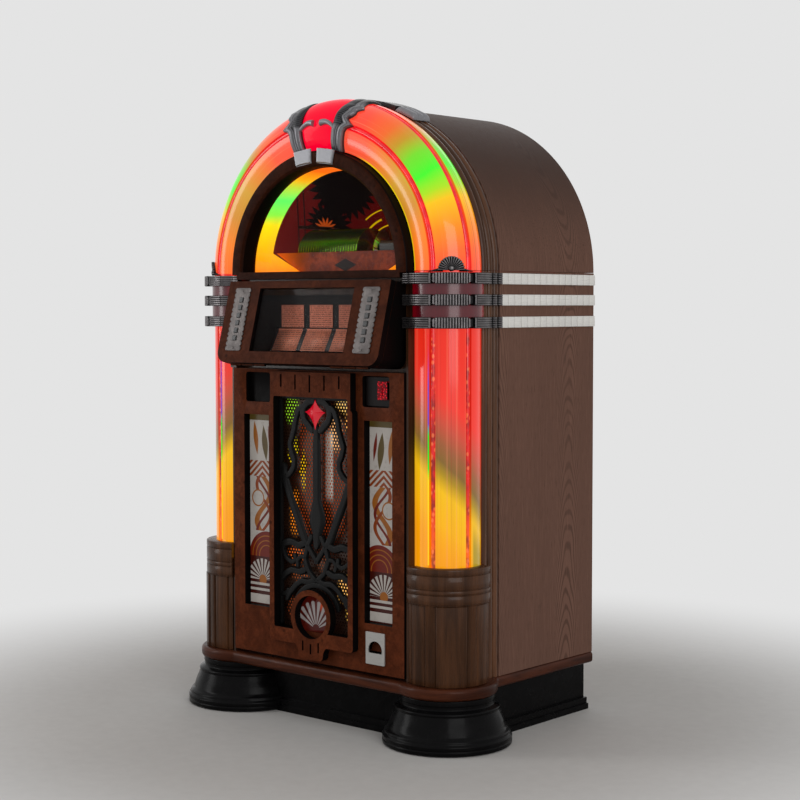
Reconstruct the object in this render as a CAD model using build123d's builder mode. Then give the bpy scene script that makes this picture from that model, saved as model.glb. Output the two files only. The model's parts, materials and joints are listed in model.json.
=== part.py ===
from build123d import *
from math import atan, cos, degrees, radians, sin, sqrt
import os

# Floor-standing disc jukebox with an arched, lit dome. All sizes are in millimetres.
# X runs across the cabinet, +Y to its back, +Z up. The origin lies on the floor, under
# the middle of the cabinet. "Depth" is the distance forward from the cabinet's back face.

os.makedirs("parts", exist_ok=True)

# Overall sizes
cabinet_width = 820
console_foot_depth = 665
hinge_barrel_radius = 5
cabinet_half = cabinet_width / 2
rear_y = (console_foot_depth - 2 * hinge_barrel_radius) / 2

# Depths of the main planes, from the back face forward
seam_depth = 388
plastic_back_depth = 451
door_depth = 587.5
base_front_depth = 600

# Heights
base_bottom_z = 120.3
base_top_z = 148.5
cover_top_z = 424
door_bottom_z = 157
door_top_z = 873
console_top_z = 1090.5
console_foot_z = 890.5
frame_bar_z = 1095
arch_centre_z = 1111
window_sill_z = 1113

# Walls and clearances
panel_thickness = 18
shell_thickness = 12
back_thickness = 12
plastic_wall = 4
seat_gap = 0.3
body_gap = 1
running_gap = 0.05


def y_at(depth):
    """Y of a place this far forward of the cabinet's back face."""
    return rear_y - depth


def plan(z):
    """Horizontal sketch plane at a height."""
    return Plane.XY.offset(z)


def front(depth):
    """Upright sketch plane at a depth, seen from the front: x across, y up, normal forward."""
    return Plane(origin=(0, y_at(depth), 0), x_dir=(1, 0, 0), z_dir=(0, -1, 0))


def side(x):
    """Upright sketch plane across the cabinet: local x is world Y, local y is world Z."""
    return Plane(origin=(x, 0, 0), x_dir=(0, 1, 0), z_dir=(1, 0, 0))


def arch_plane(angle):
    """Plane through the arch's axis, this many degrees up from the right-hand springing."""
    up = radians(angle)
    return Plane(origin=(0, 0, arch_centre_z), x_dir=(cos(up), 0, sin(up)), z_dir=(-sin(up), 0, cos(up)))


arch_axis = Axis((0, 0, arch_centre_z), (0, -1, 0))


def finish(part, label):
    """Name a finished piece and write it."""
    part.label = label
    export_step(part, f"parts/{label}.step")


# Plastic envelope of the columns and the arch: in plan a circle over the foot's middle, cut
# off at the door's side and at the seam behind it. The arch has the same section.
inner_half = 295
column_x = 337
column_depth = 493
plastic_radius = 80
groove_angles = (14, 78)
groove_width = 15
groove_depth = 12
tube_radius = 5.5
envelope_centre = (column_x, y_at(column_depth))
envelope_reach = 200


def envelope(grow):
    """Plan outline of a column, grown past its plastic."""
    with BuildSketch() as outline:
        with Locations(envelope_centre):
            Circle(plastic_radius + grow)
        with Locations((inner_half + envelope_reach / 2, y_at(plastic_back_depth + envelope_reach / 2))):
            Rectangle(envelope_reach, envelope_reach, mode=Mode.INTERSECT)
    return outline.sketch


def wedge(start, end):
    """Sector about the column's centre, between two turns from its front."""
    x, y = envelope_centre
    with BuildSketch() as sector:
        with BuildLine():
            corners = [(x + envelope_reach * sin(radians(turn)), y - envelope_reach * cos(radians(turn)))
                       for turn in (start, (start + end) / 2, end)]
            Polyline((x, y), *corners, close=True)
        make_face()
    return sector.sketch


def envelope_band(start, end, grow, inner_grow=seat_gap):
    """Band on the plastic's outside, between two turns of its section."""
    with BuildSketch() as band:
        add(envelope(grow))
        add(envelope(inner_grow), mode=Mode.SUBTRACT)
        add(wedge(start, end), mode=Mode.INTERSECT)
    return band.sketch


def envelope_point(angle, sink):
    """Point on the envelope, this many degrees round from its front, sunk along the normal."""
    turn = radians(angle)
    x = column_x + (plastic_radius - sink) * sin(turn)
    y = y_at(column_depth) - (plastic_radius - sink) * cos(turn)
    return x, y, sin(turn), -cos(turn)


def grooves(width, depth):
    """Plan shapes of the tube grooves sunk into the envelope."""
    reach = 4
    with BuildSketch() as shapes:
        for angle in groove_angles:
            x, y, normal_x, normal_y = envelope_point(angle, (depth - reach) / 2)
            heading = degrees(atan(normal_y / normal_x))
            with Locations((x, y)):
                Rectangle(depth + reach, width, rotation=heading)
    return shapes.sketch


def plastic_section():
    """Wall of the lit plastic, with its two tube grooves."""
    with BuildSketch() as section:
        add(envelope(0))
        add(grooves(groove_width, groove_depth), mode=Mode.SUBTRACT)
        with BuildSketch(mode=Mode.SUBTRACT):
            add(envelope(-plastic_wall))
            add(grooves(groove_width + 2 * plastic_wall, groove_depth + plastic_wall), mode=Mode.SUBTRACT)
    return section.sketch


def tube_section():
    """Tubes lying in the grooves, just below the envelope."""
    sink = groove_depth - tube_radius - seat_gap
    with BuildSketch() as section:
        for angle in groove_angles:
            x, y, normal_x, normal_y = envelope_point(angle, sink)
            with Locations((x, y)):
                Circle(tube_radius)
    return section.sketch


# Reeded moulding between the plastics and the veneered shell
reed_radius = 10.5
reed_count = 3
moulding_root = cabinet_half - 30


def moulding_section():
    """Three reeds side by side on a flat root."""
    run = plastic_back_depth - seam_depth
    with BuildSketch() as section:
        with Locations(((moulding_root + cabinet_half - reed_radius) / 2, y_at(seam_depth + run / 2))):
            Rectangle(cabinet_half - reed_radius - moulding_root, run - 2 * seat_gap)
        for reed in range(reed_count):
            depth = seam_depth + run * (reed + 0.5) / reed_count
            with Locations((cabinet_half - reed_radius + 1, y_at(depth))):
                Circle(reed_radius - seat_gap)
    return section.sketch


lower_top_z = arch_centre_z - body_gap

# Front feet: turned bells under the columns
foot_x = 337
foot_depth = 493
foot_radius = 154
foot_cone_radius = 140
foot_rim_radius = 123
foot_neck_radius = 112
foot_step_z = 24
foot_cone_z = 38
foot_rim_z = 85
foot_bead = 8
foot_step_in = 5
foot_step_out = 3
foot_rim_height = 7
foot_rim_slope = 5


def foot_profile(grow):
    """Half section of a foot, from its axis out."""
    top_z = base_bottom_z - seat_gap + grow
    with BuildSketch() as profile:
        with BuildLine():
            Polyline(
                (0, 0),
                (foot_radius - foot_bead + grow, 0),
                (foot_radius + grow, foot_bead),
                (foot_radius + grow, foot_step_z + grow),
                (foot_radius - foot_step_in + grow, foot_step_z + foot_step_out + grow),
                (foot_radius - foot_bead + grow, foot_cone_z - 2 + grow),
                (foot_cone_radius + grow, foot_cone_z + grow),
                (foot_rim_radius + 1 + grow, foot_rim_z + grow),
                (foot_rim_radius + grow, foot_rim_z + foot_rim_height + grow),
                (foot_neck_radius + grow, foot_rim_z + foot_rim_height + foot_rim_slope + grow),
                (foot_neck_radius + grow, top_z),
                (0, top_z),
                close=True,
            )
        make_face()
    return profile.sketch


with BuildPart() as front_feet:
    with BuildSketch(Plane.XZ):
        add(foot_profile(0))
    revolve(axis=Axis.Z)
foot_solid = front_feet.part
with BuildPart() as front_feet:
    with Locations((foot_x, y_at(foot_depth), 0), (-foot_x, y_at(foot_depth), 0)):
        add(foot_solid)
finish(front_feet.part, "front_feet")

# Black plinth: a hollow box with a stepped skirting, cut round the feet
plinth_half = 385
plinth_front_depth = 518
plinth_wall = 18
skirting_low = 15
skirting_high = 10
skirting_step_z = 14
skirting_top_z = 29

with BuildPart() as foot_room:
    with BuildSketch(Plane.XZ):
        add(foot_profile(seat_gap))
    revolve(axis=Axis.Z)

with BuildPart() as plinth:
    plinth_top_z = base_bottom_z - seat_gap
    for reach, top_z in (
        (0, plinth_top_z),
        (skirting_high, skirting_top_z),
        (skirting_low, skirting_step_z),
    ):
        length = plinth_front_depth + reach
        with BuildSketch(plan(0)):
            with Locations((0, y_at(length / 2))):
                Rectangle(2 * (plinth_half + reach), length)
        extrude(amount=top_z)
    with BuildSketch(plan(0)):
        with Locations((0, y_at(plinth_front_depth / 2))):
            Rectangle(2 * (plinth_half - plinth_wall), plinth_front_depth - 2 * plinth_wall)
    extrude(amount=plinth_top_z, mode=Mode.SUBTRACT)
    with Locations((foot_x, y_at(foot_depth), 0), (-foot_x, y_at(foot_depth), 0)):
        add(foot_room.part, mode=Mode.SUBTRACT)
finish(plinth.part, "plinth")



def on_board_side(vertex):
    """True where the base board's straight front or side meets the swell round a column."""
    on_front = abs(vertex.Y - y_at(base_front_depth)) < 1
    on_side = abs(abs(vertex.X) - base_side_half) < 1
    return on_front or on_side


# Base board with a rounded edge that swells round the columns
base_side_half = 412
base_grow = 40
base_waist = 25
base_round = 9
pivot_x = 281
pivot_depth = 583
pivot_radius = 3
pivot_reach = 10

with BuildPart() as base_board:
    with BuildSketch(plan(base_bottom_z)) as board_outline:
        for half, front_depth in ((column_x, base_front_depth), (base_side_half, column_depth)):
            with Locations((0, y_at(front_depth / 2))):
                Rectangle(2 * half, front_depth)
        with Locations((column_x, y_at(column_depth)), (-column_x, y_at(column_depth))):
            Circle(plastic_radius + base_grow)
        waists = board_outline.vertices().filter_by(lambda vertex: vertex.Y < rear_y - 1)
        fillet(waists.filter_by(lambda vertex: on_board_side(vertex)), base_waist)
    extrude(amount=base_top_z - base_bottom_z)
    rim = base_board.edges().filter_by_position(Axis.Z, base_top_z, base_top_z)
    rim += base_board.edges().filter_by_position(Axis.Z, base_bottom_z, base_bottom_z)
    fillet(rim.filter_by(lambda edge: edge.center().Y < rear_y - 1), base_round)
    with BuildSketch(plan(base_top_z - body_gap)):
        with Locations((-pivot_x, y_at(pivot_depth))):
            Circle(pivot_radius)
    extrude(amount=door_bottom_z + pivot_reach - base_top_z + body_gap)
finish(base_board.part, "base_board")

# Veneered sides, from the base to the parting line under the dome
with BuildPart() as side_panels:
    with BuildSketch(plan(base_top_z + seat_gap)):
        with Locations((cabinet_half - panel_thickness / 2, y_at(seam_depth / 2))):
            Rectangle(panel_thickness, seam_depth - 2 * seat_gap)
    extrude(amount=lower_top_z - base_top_z - seat_gap)
    mirror(about=Plane.YZ)
finish(side_panels.part, "side_panels")

# Corner mouldings of the lower cabinet
with BuildPart() as corner_mouldings:
    with BuildSketch(plan(base_top_z + seat_gap)):
        add(moulding_section())
    extrude(amount=lower_top_z - base_top_z - seat_gap)
    mirror(about=Plane.YZ)
finish(corner_mouldings.part, "corner_mouldings")

# Lit column plastics and their bubble tubes
plastic_foot_z = cover_top_z - 40

with BuildPart() as column_plastics:
    with BuildSketch(plan(plastic_foot_z)):
        add(plastic_section())
    extrude(amount=lower_top_z - plastic_foot_z)
    mirror(about=Plane.YZ)
finish(column_plastics.part, "column_plastics")

with BuildPart() as bubble_tubes:
    with BuildSketch(plan(plastic_foot_z)):
        add(tube_section())
    extrude(amount=lower_top_z - plastic_foot_z)
    mirror(about=Plane.YZ)
finish(bubble_tubes.part, "bubble_tubes")

# Wooden covers round the foot of each column: planks that step up to the middle one, under a
# plain head with grooves
cover_head_grow = 25.5
cover_groove_heights = (408, 375, 363.5, 340)
cover_groove_height = 3
cover_groove_depth = 3
cover_plank_turns = (-60, -15, 9.5, 24.8, 65.2, 80.5, 105, 150)
cover_plank_grows = (21.5, 23.2, 25, 27, 25, 23.2, 21.5)
cover_plank_top_z = 338

with BuildPart() as column_covers:
    with BuildSketch(plan(base_top_z + body_gap)):
        for start, end, grow in zip(cover_plank_turns, cover_plank_turns[1:], cover_plank_grows):
            add(envelope_band(start, end, grow))
    extrude(amount=cover_plank_top_z - base_top_z - body_gap)
    with BuildSketch(plan(cover_plank_top_z)):
        add(envelope(cover_head_grow))
        add(envelope(seat_gap), mode=Mode.SUBTRACT)
    extrude(amount=cover_top_z - cover_plank_top_z)
    for groove_z in cover_groove_heights:
        with BuildSketch(plan(groove_z - cover_groove_height / 2)):
            add(envelope(cover_plank_grows[3] + 1))
            add(envelope(cover_head_grow - cover_groove_depth), mode=Mode.SUBTRACT)
        extrude(amount=cover_groove_height, mode=Mode.SUBTRACT)
    mirror(about=Plane.YZ)
finish(column_covers.part, "column_covers")

# Three belt bands round the columns and along the sides, over dark sleeves
band_centres_z = (1092.5, 1042.5, 990)
band_height = 26
band_grow = 26
sleeve_grow = 6
band_side_proud = 5
reed_band_half = cabinet_half + 16
band_overlap = 2
moulding_top = cabinet_half + 1.5
band_inner_x = 274
band_end_depths = (568, 585)

with BuildPart() as belt_sleeves:
    sleeve_bottom_z = band_centres_z[-1] - band_height / 2
    with BuildSketch(plan(sleeve_bottom_z)):
        add(envelope(sleeve_grow))
        add(envelope(seat_gap), mode=Mode.SUBTRACT)
    extrude(amount=band_centres_z[0] + band_height / 2 - sleeve_bottom_z)
    mirror(about=Plane.YZ)
finish(belt_sleeves.part, "belt_sleeves")

with BuildPart() as belt_bands:
    for band_z in band_centres_z:
        with BuildSketch(plan(band_z - band_height / 2)):
            add(envelope(band_grow))
            flat_end_x = inner_half + band_overlap
            with Locations(((band_inner_x + flat_end_x) / 2, y_at(sum(band_end_depths) / 2))):
                Rectangle(flat_end_x - band_inner_x, band_end_depths[1] - band_end_depths[0])
            reed_front = plastic_back_depth + band_overlap
            with Locations(((moulding_top + reed_band_half) / 2, y_at((seam_depth + reed_front) / 2))):
                Rectangle(reed_band_half - moulding_top, reed_front - seam_depth)
            add(envelope(sleeve_grow + seat_gap), mode=Mode.SUBTRACT)
            strip_x = cabinet_half + seat_gap + band_side_proud / 2
            strip_length = seam_depth - 2 * body_gap
            with Locations((strip_x, y_at(strip_length / 2))):
                Rectangle(band_side_proud, strip_length)
        extrude(amount=band_height)
    mirror(about=Plane.YZ)
finish(belt_bands.part, "belt_bands")

# Lower part of the back, with vents and a window for the power inlet
back_half = cabinet_half - panel_thickness - seat_gap
vent_width = 120
vent_height = 10
vent_count = 6
vent_pitch = 24
vent_x = 150
vent_z = 880
lid_vent_lift = 110
inlet_z = 215
inlet_window = (58, 38)
hinge_x = 250
knuckle_length = 40
hinge_axis_y = rear_y + hinge_barrel_radius
hinge_axis_z = lower_top_z + body_gap / 2
hinge_pin_radius = 2.5
hinge_leaf = 2.5
hinge_leaf_height = 26


def vents(base_z):
    """Rows of cooling slots for a back panel."""
    with BuildSketch() as slots:
        for row in range(vent_count):
            with Locations((-vent_x, base_z + row * vent_pitch), (vent_x, base_z + row * vent_pitch)):
                SlotOverall(vent_width, vent_height)
    return slots.sketch


with BuildPart() as back_panel:
    with BuildSketch(plan(base_top_z + seat_gap)):
        with Locations((0, y_at(back_thickness / 2))):
            Rectangle(2 * back_half, back_thickness)
    extrude(amount=lower_top_z - base_top_z - seat_gap)
    with BuildSketch(front(back_thickness)):
        add(vents(vent_z))
        with Locations((0, inlet_z)):
            Rectangle(*inlet_window)
    extrude(amount=-back_thickness, mode=Mode.SUBTRACT)
    for x in (-hinge_x, hinge_x):
        with BuildSketch(side(x - knuckle_length / 2)):
            with Locations((hinge_axis_y, hinge_axis_z)):
                Circle(hinge_barrel_radius)
            with Locations((rear_y + hinge_leaf / 2, hinge_axis_z - hinge_leaf_height / 2)):
                Rectangle(hinge_leaf, hinge_leaf_height)
        extrude(amount=knuckle_length)
        with BuildSketch(side(x - 1.5 * knuckle_length)):
            with Locations((hinge_axis_y, hinge_axis_z)):
                Circle(hinge_pin_radius)
        extrude(amount=3 * knuckle_length)
finish(back_panel.part, "back_panel")

# Front board behind the door and the console, with the door's stops and its upper pivot
board_back_depth = 538
board_front_depth = 560
board_half = inner_half - 0.5
lip_inner_half = 287.5
lip_front_depth = 583
lip_top_z = band_centres_z[-1] - band_height / 2 - body_gap
door_back_depth = door_depth - 20
stop_inner_half = 270
speaker_radius = 74
speaker_heights = (330, 600)
pivot_tab = 6

with BuildPart() as front_frame:
    board_bottom_z = base_top_z + seat_gap
    board_top_z = frame_bar_z - 0.5
    with BuildSketch(front(board_back_depth)):
        with Locations((0, (board_bottom_z + board_top_z) / 2)):
            Rectangle(2 * board_half, board_top_z - board_bottom_z)
        with Locations(*[(0, z) for z in speaker_heights]):
            Circle(speaker_radius, mode=Mode.SUBTRACT)
    extrude(amount=board_front_depth - board_back_depth)
    for inner, outer, depth, top_z in (
        (stop_inner_half, board_half, door_back_depth - body_gap, door_top_z),
        (lip_inner_half, board_half, lip_front_depth, lip_top_z),
    ):
        with BuildSketch(front(board_front_depth)):
            for hand in (-1, 1):
                with Locations((hand * (inner + outer) / 2, (board_bottom_z + top_z) / 2)):
                    Rectangle(outer - inner, top_z - board_bottom_z)
        extrude(amount=depth - board_front_depth)
    with BuildSketch(plan(door_top_z + body_gap)):
        tab_back = board_front_depth - 1
        tab_front = pivot_depth + pivot_radius + 3
        tab_inner = pivot_x - pivot_radius - 4
        with Locations((-(tab_inner + board_half) / 2, y_at((tab_back + tab_front) / 2))):
            Rectangle(board_half - tab_inner, tab_front - tab_back)
    extrude(amount=pivot_tab)
    with BuildSketch(plan(door_top_z + body_gap + pivot_tab)):
        with Locations((-pivot_x, y_at(pivot_depth))):
            Circle(pivot_radius)
    extrude(amount=-pivot_tab - body_gap - pivot_reach)
finish(front_frame.part, "front_frame")

# Loudspeakers behind the grille
speaker_flange = 3
speaker_depth = 62
magnet_radius = 34
magnet_depth = 24
cone_foot_radius = 26
cone_foot_depth = 30
cone_middle_depth = 36
basket_slope = 6
rim_overlap = 8
cone_edge = 4

with BuildPart() as speaker_shape:
    with BuildSketch(Plane.XZ):
        with BuildLine():
            Polyline(
                (0, 0),
                (magnet_radius, 0),
                (magnet_radius, magnet_depth),
                (speaker_radius - basket_slope, speaker_depth - speaker_flange),
                (speaker_radius + rim_overlap, speaker_depth - speaker_flange),
                (speaker_radius + rim_overlap, speaker_depth),
                (speaker_radius - cone_edge, speaker_depth),
                (cone_foot_radius, cone_foot_depth),
                (0, cone_middle_depth),
                close=True,
            )
        make_face()
    revolve(axis=Axis.Z)

with BuildPart() as speakers:
    speaker_back_y = y_at(board_back_depth - seat_gap - speaker_depth)
    with Locations(*[Location((0, speaker_back_y, z), (90, 0, 0)) for z in speaker_heights]):
        add(speaker_shape.part)
finish(speakers.part, "speakers")

# Amplifier on the base board, with the power inlet through the back
amplifier_half = 170
amplifier_depths = (40, 250)
amplifier_height = 120
inlet_block = (52, 32)
inlet_recess = (46, 26)
inlet_recess_depth = 17
inlet_back_depth = 2
inlet_pins = ((-10, -2), (10, -2), (0, 4))
inlet_pin_size = (2, 6)
inlet_pin_depth = 8

with BuildPart() as amplifier:
    with BuildSketch(front(amplifier_depths[0])):
        with Locations((0, base_top_z + seat_gap + amplifier_height / 2)):
            Rectangle(2 * amplifier_half, amplifier_height)
    extrude(amount=amplifier_depths[1] - amplifier_depths[0])
    with BuildSketch(front(inlet_back_depth)):
        with Locations((0, inlet_z)):
            Rectangle(*inlet_block)
    extrude(amount=amplifier_depths[0] - inlet_back_depth)
    with BuildSketch(front(inlet_back_depth)):
        with Locations((0, inlet_z)):
            Rectangle(*inlet_recess)
    extrude(amount=inlet_recess_depth, mode=Mode.SUBTRACT)
    with BuildSketch(front(inlet_pin_depth)):
        with Locations(*[(x, inlet_z + z) for x, z in inlet_pins]):
            Rectangle(*inlet_pin_size)
    extrude(amount=inlet_recess_depth)
finish(amplifier.part, "amplifier")

# Title console: its housing, and a leaning door with glass, plates and buttons
console_half = 268
console_top_depth = 612
console_wall = 10
title_door_thickness = 18
title_window_half = 157
title_window_top = -18.6
title_window_bottom = -177.4
title_corner = 30
glass_thickness = 3
glass_margin = 6
glass_rebate = 6
lean = atan((console_foot_depth - console_top_depth) / (console_top_z - console_foot_z))
panel_height = (console_top_z - console_foot_z) / cos(lean)
title_barrel_radius = 4
title_knuckle_x = 170
title_knuckle_length = 40


def leaning(offset):
    """Sketch plane of the leaning title door: x across, y up it from its top edge."""
    return Plane(
        origin=(0, y_at(console_top_depth), console_top_z),
        x_dir=(1, 0, 0),
        z_dir=(0, -cos(lean), sin(lean)),
    ).offset(offset)


def lean_point(up, out):
    """Depth and height of a point on the leaning door."""
    depth = console_top_depth - up * sin(lean) + out * cos(lean)
    return depth, console_top_z + up * cos(lean) + out * sin(lean)


title_axis_depth, title_axis_z = lean_point(-panel_height, -title_door_thickness - seat_gap)


def title_barrels(radius, length, places):
    """Barrels or rods on the title door's hinge line."""
    with BuildPart() as barrels:
        for x in places:
            with BuildSketch(side(x - length / 2)):
                with Locations((y_at(title_axis_depth), title_axis_z)):
                    Circle(radius)
            extrude(amount=length)
    return barrels.part


with BuildPart() as console_housing:
    top_depth, top_z = lean_point(0, -title_door_thickness - 2 * seat_gap)
    foot_front_depth, foot_front_z = lean_point(-panel_height, -title_door_thickness - 2 * seat_gap)
    housing_back_depth = board_front_depth + seat_gap
    housing_back_z = 880
    with BuildSketch(side(-console_half)):
        with BuildLine():
            Polyline(
                (y_at(housing_back_depth), housing_back_z), (y_at(housing_back_depth), top_z),
                (y_at(top_depth), top_z), (y_at(foot_front_depth), foot_front_z),
                close=True,
            )
        make_face()
    extrude(amount=2 * console_half)
    lower_edges = console_housing.edges().filter_by(Axis.Y, tolerance=20)
    lower_edges = lower_edges.filter_by(lambda edge: edge.center().Z < console_foot_z)
    fillet(lower_edges, title_corner)
    with BuildSketch(side(-console_half + console_wall)):
        with BuildLine():
            Polyline(
                (y_at(housing_back_depth) + 1, housing_back_z + console_wall),
                (y_at(housing_back_depth) + 1, top_z - console_wall),
                (y_at(console_foot_depth), top_z - console_wall),
                (y_at(console_foot_depth), foot_front_z + console_wall),
                close=True,
            )
        make_face()
    extrude(amount=2 * (console_half - console_wall), mode=Mode.SUBTRACT)
    own_knuckles = [hand * (title_knuckle_x + shift * (title_knuckle_length + 1))
                    for hand in (-1, 1) for shift in (-1, 1)]
    door_knuckles = (-title_knuckle_x, title_knuckle_x)
    add(title_barrels(title_barrel_radius, title_knuckle_length - 2, own_knuckles))
    add(title_barrels(title_barrel_radius + 1, title_knuckle_length + 1, door_knuckles), mode=Mode.SUBTRACT)
    add(title_barrels(title_barrel_radius / 2, title_knuckle_length + 6, door_knuckles))
finish(console_housing.part, "console_housing")

button_size = 12.5
button_gap = 0.5
button_travel = 2.5
button_proud = 2.8
button_length = 15
button_count = 6
button_first = -48.7
button_pitch = 19.4
button_x = 214
button_places = [(hand * button_x, button_first - row * button_pitch)
                 for hand in (-1, 1) for row in range(button_count)]

with BuildPart() as title_frame:
    with BuildSketch(leaning(-title_door_thickness)) as door_face:
        with Locations((0, -panel_height / 2)):
            Rectangle(2 * console_half, panel_height)
        fillet(door_face.vertices().group_by(Axis.Y)[0], title_corner)
        with Locations((0, (title_window_top + title_window_bottom) / 2)):
            Rectangle(2 * title_window_half, title_window_top - title_window_bottom, mode=Mode.SUBTRACT)
        with Locations(*button_places):
            Rectangle(button_size + 2 * button_gap, button_size + 2 * button_gap, mode=Mode.SUBTRACT)
    extrude(amount=title_door_thickness)
    with BuildSketch(leaning(-title_door_thickness)):
        with Locations((0, (title_window_top + title_window_bottom) / 2)):
            Rectangle(2 * (title_window_half + glass_margin + seat_gap),
                      title_window_top - title_window_bottom + 2 * (glass_margin + seat_gap))
    extrude(amount=title_door_thickness - glass_rebate, mode=Mode.SUBTRACT)
    add(title_barrels(title_barrel_radius + 1, title_knuckle_length, own_knuckles), mode=Mode.SUBTRACT)
    add(title_barrels(title_barrel_radius, title_knuckle_length - 1, door_knuckles))
    add(title_barrels(title_barrel_radius / 2 + running_gap, title_knuckle_length + 8, door_knuckles),
        mode=Mode.SUBTRACT)
finish(title_frame.part, "title_frame")

with BuildPart() as title_glass:
    with BuildSketch(leaning(-glass_rebate - glass_thickness - seat_gap)):
        with Locations((0, (title_window_top + title_window_bottom) / 2)):
            Rectangle(2 * (title_window_half + glass_margin),
                      title_window_top - title_window_bottom + 2 * glass_margin)
    extrude(amount=glass_thickness)
finish(title_glass.part, "title_glass")

plate_half = 21
plate_top = -18.1
plate_bottom = -177.4
plate_thickness = 2
scallop_radius = 6
scallop_count = 13
screw_radius = 2.6
screw_inset = 8

with BuildPart() as selector_plates:
    with BuildSketch(leaning(seat_gap)) as plate_face:
        for hand in (-1, 1):
            with Locations((hand * button_x, (plate_top + plate_bottom) / 2)):
                Rectangle(2 * plate_half, plate_top - plate_bottom)
            scallop_pitch = (plate_top - plate_bottom - 2 * scallop_radius) / (scallop_count - 1)
            for row in range(scallop_count):
                scallop_y = plate_top - scallop_radius - row * scallop_pitch
                plate_edges = (hand * button_x - plate_half, hand * button_x + plate_half)
                with Locations(*[(edge_x, scallop_y) for edge_x in plate_edges]):
                    Circle(scallop_radius)
        with Locations(*button_places):
            Rectangle(button_size + 2 * button_gap, button_size + 2 * button_gap, mode=Mode.SUBTRACT)
    extrude(amount=plate_thickness)
    with BuildSketch(leaning(seat_gap + plate_thickness)):
        for hand in (-1, 1):
            screw_places = (plate_top - screw_inset, plate_bottom + screw_inset)
            with Locations(*[(hand * button_x, screw_y) for screw_y in screw_places]):
                Circle(screw_radius)
    extrude(amount=1)
finish(selector_plates.part, "selector_plates")

for number, place in enumerate(button_places):
    with BuildPart() as button:
        with BuildSketch(leaning(button_proud + plate_thickness)):
            with Locations(place):
                Rectangle(button_size, button_size)
        extrude(amount=-button_length)
        fillet(button.faces().sort_by(Axis.Y)[0].edges(), 1)
    bank = "left" if place[0] < 0 else "right"
    finish(button.part, f"button_{bank}_{number % button_count + 1}")

# Title pages: a fixed upright row and a leaf that flips up over it
holder_half = 245
holder_top_z = 1056
holder_bottom_z = 900
holder_front_depth = 564
leaf_half = 145
leaf_length = 58
leaf_thickness = 1.6
leaf_axis_z = 971
leaf_axis_depth = 570
leaf_pin_radius = 2.5
leaf_rest_angle = 28
ear_thickness = 6
card_half = 40.5
card_pitch = 97
card_columns = (-1, 0, 1)

with BuildPart() as title_page_holder:
    with BuildSketch(front(housing_back_depth)):
        with Locations((0, (holder_top_z + holder_bottom_z) / 2)):
            Rectangle(2 * holder_half, holder_top_z - holder_bottom_z)
    extrude(amount=holder_front_depth - housing_back_depth)
    for column in card_columns:
        with BuildSketch(front(holder_front_depth)):
            with Locations((column * card_pitch, leaf_axis_z + 4 + leaf_length / 2)):
                Rectangle(2 * card_half, leaf_length)
        extrude(amount=1)
    for hand in (-1, 1):
        ear_x = hand * (leaf_half + body_gap + ear_thickness / 2) - ear_thickness / 2
        with BuildSketch(side(ear_x)):
            ear_back = holder_front_depth - 1
            ear_front = leaf_axis_depth + leaf_pin_radius + 3
            with Locations((y_at((ear_back + ear_front) / 2), leaf_axis_z)):
                Rectangle(ear_front - ear_back, 14)
            with Locations((y_at(leaf_axis_depth), leaf_axis_z)):
                Circle(leaf_pin_radius + running_gap, mode=Mode.SUBTRACT)
        extrude(amount=ear_thickness)
finish(title_page_holder.part, "title_page_holder")

with BuildPart() as title_leaf:
    with BuildSketch(side(-leaf_half - body_gap - ear_thickness)):
        with Locations((y_at(leaf_axis_depth), leaf_axis_z)):
            Circle(leaf_pin_radius)
    extrude(amount=2 * (leaf_half + body_gap + ear_thickness))
    rest = radians(leaf_rest_angle)
    leaf_plane = Plane(
        origin=(0, y_at(leaf_axis_depth), leaf_axis_z),
        x_dir=(1, 0, 0),
        z_dir=(0, -cos(rest), sin(rest)),
    )
    with BuildSketch(leaf_plane.offset(-leaf_thickness / 2)):
        with Locations((0, -leaf_length / 2)):
            Rectangle(2 * leaf_half, leaf_length)
    extrude(amount=leaf_thickness)
    with BuildSketch(leaf_plane.offset(leaf_thickness / 2)):
        with Locations(*[(column * card_pitch, -leaf_length / 2 - 1) for column in card_columns]):
            Rectangle(2 * card_half, leaf_length - 6)
    extrude(amount=0.8)
finish(title_leaf.part, "title_leaf")

# Lower door with its openings
door_half = 285
grille_half = 124
grille_bottom_z = 236
grille_top_z = 808
grille_margin = 4
art_inner_x = 160
art_outer_x = 248
art_bottom_z = 275
art_top_z = 758
pocket_inner_x = 155
pocket_outer_x = 240
pocket_bottom_z = 790
pocket_top_z = 864
pocket_depth = 14
pocket_corner = 7
pocket_x = (pocket_inner_x + pocket_outer_x) / 2
pocket_z = (pocket_bottom_z + pocket_top_z) / 2
pocket_width = pocket_outer_x - pocket_inner_x
pocket_height = pocket_top_z - pocket_bottom_z
coin_x = 196
coin_plate_half = 29.5
coin_plate_thickness = 3
coin_plate_corner = 2
coin_plate_bottom_z = 179
coin_plate_top_z = 256
coin_mouth_half = 22
coin_mouth_bottom_z = 206
coin_mouth_top_z = 235
coin_side_room = 2.5
flap_axis_z = coin_mouth_bottom_z + 4
flap_depth = 578
flap_pin_radius = 1.5
flap_pin_reach = 2.5
flap_height = 20
flap_thickness = 2


def coin_mouth(grow):
    """Half-round mouth of the coin return, with its flat edge below."""
    radius = coin_mouth_half + grow
    height = coin_mouth_top_z - coin_mouth_bottom_z + 2 * grow
    with BuildSketch() as mouth:
        with Locations((coin_x, coin_mouth_bottom_z - grow + height - radius)):
            Circle(radius)
        with Locations((coin_x, coin_mouth_bottom_z - grow + height / 2)):
            Rectangle(2 * radius, height, mode=Mode.INTERSECT)
    return mouth.sketch


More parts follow.
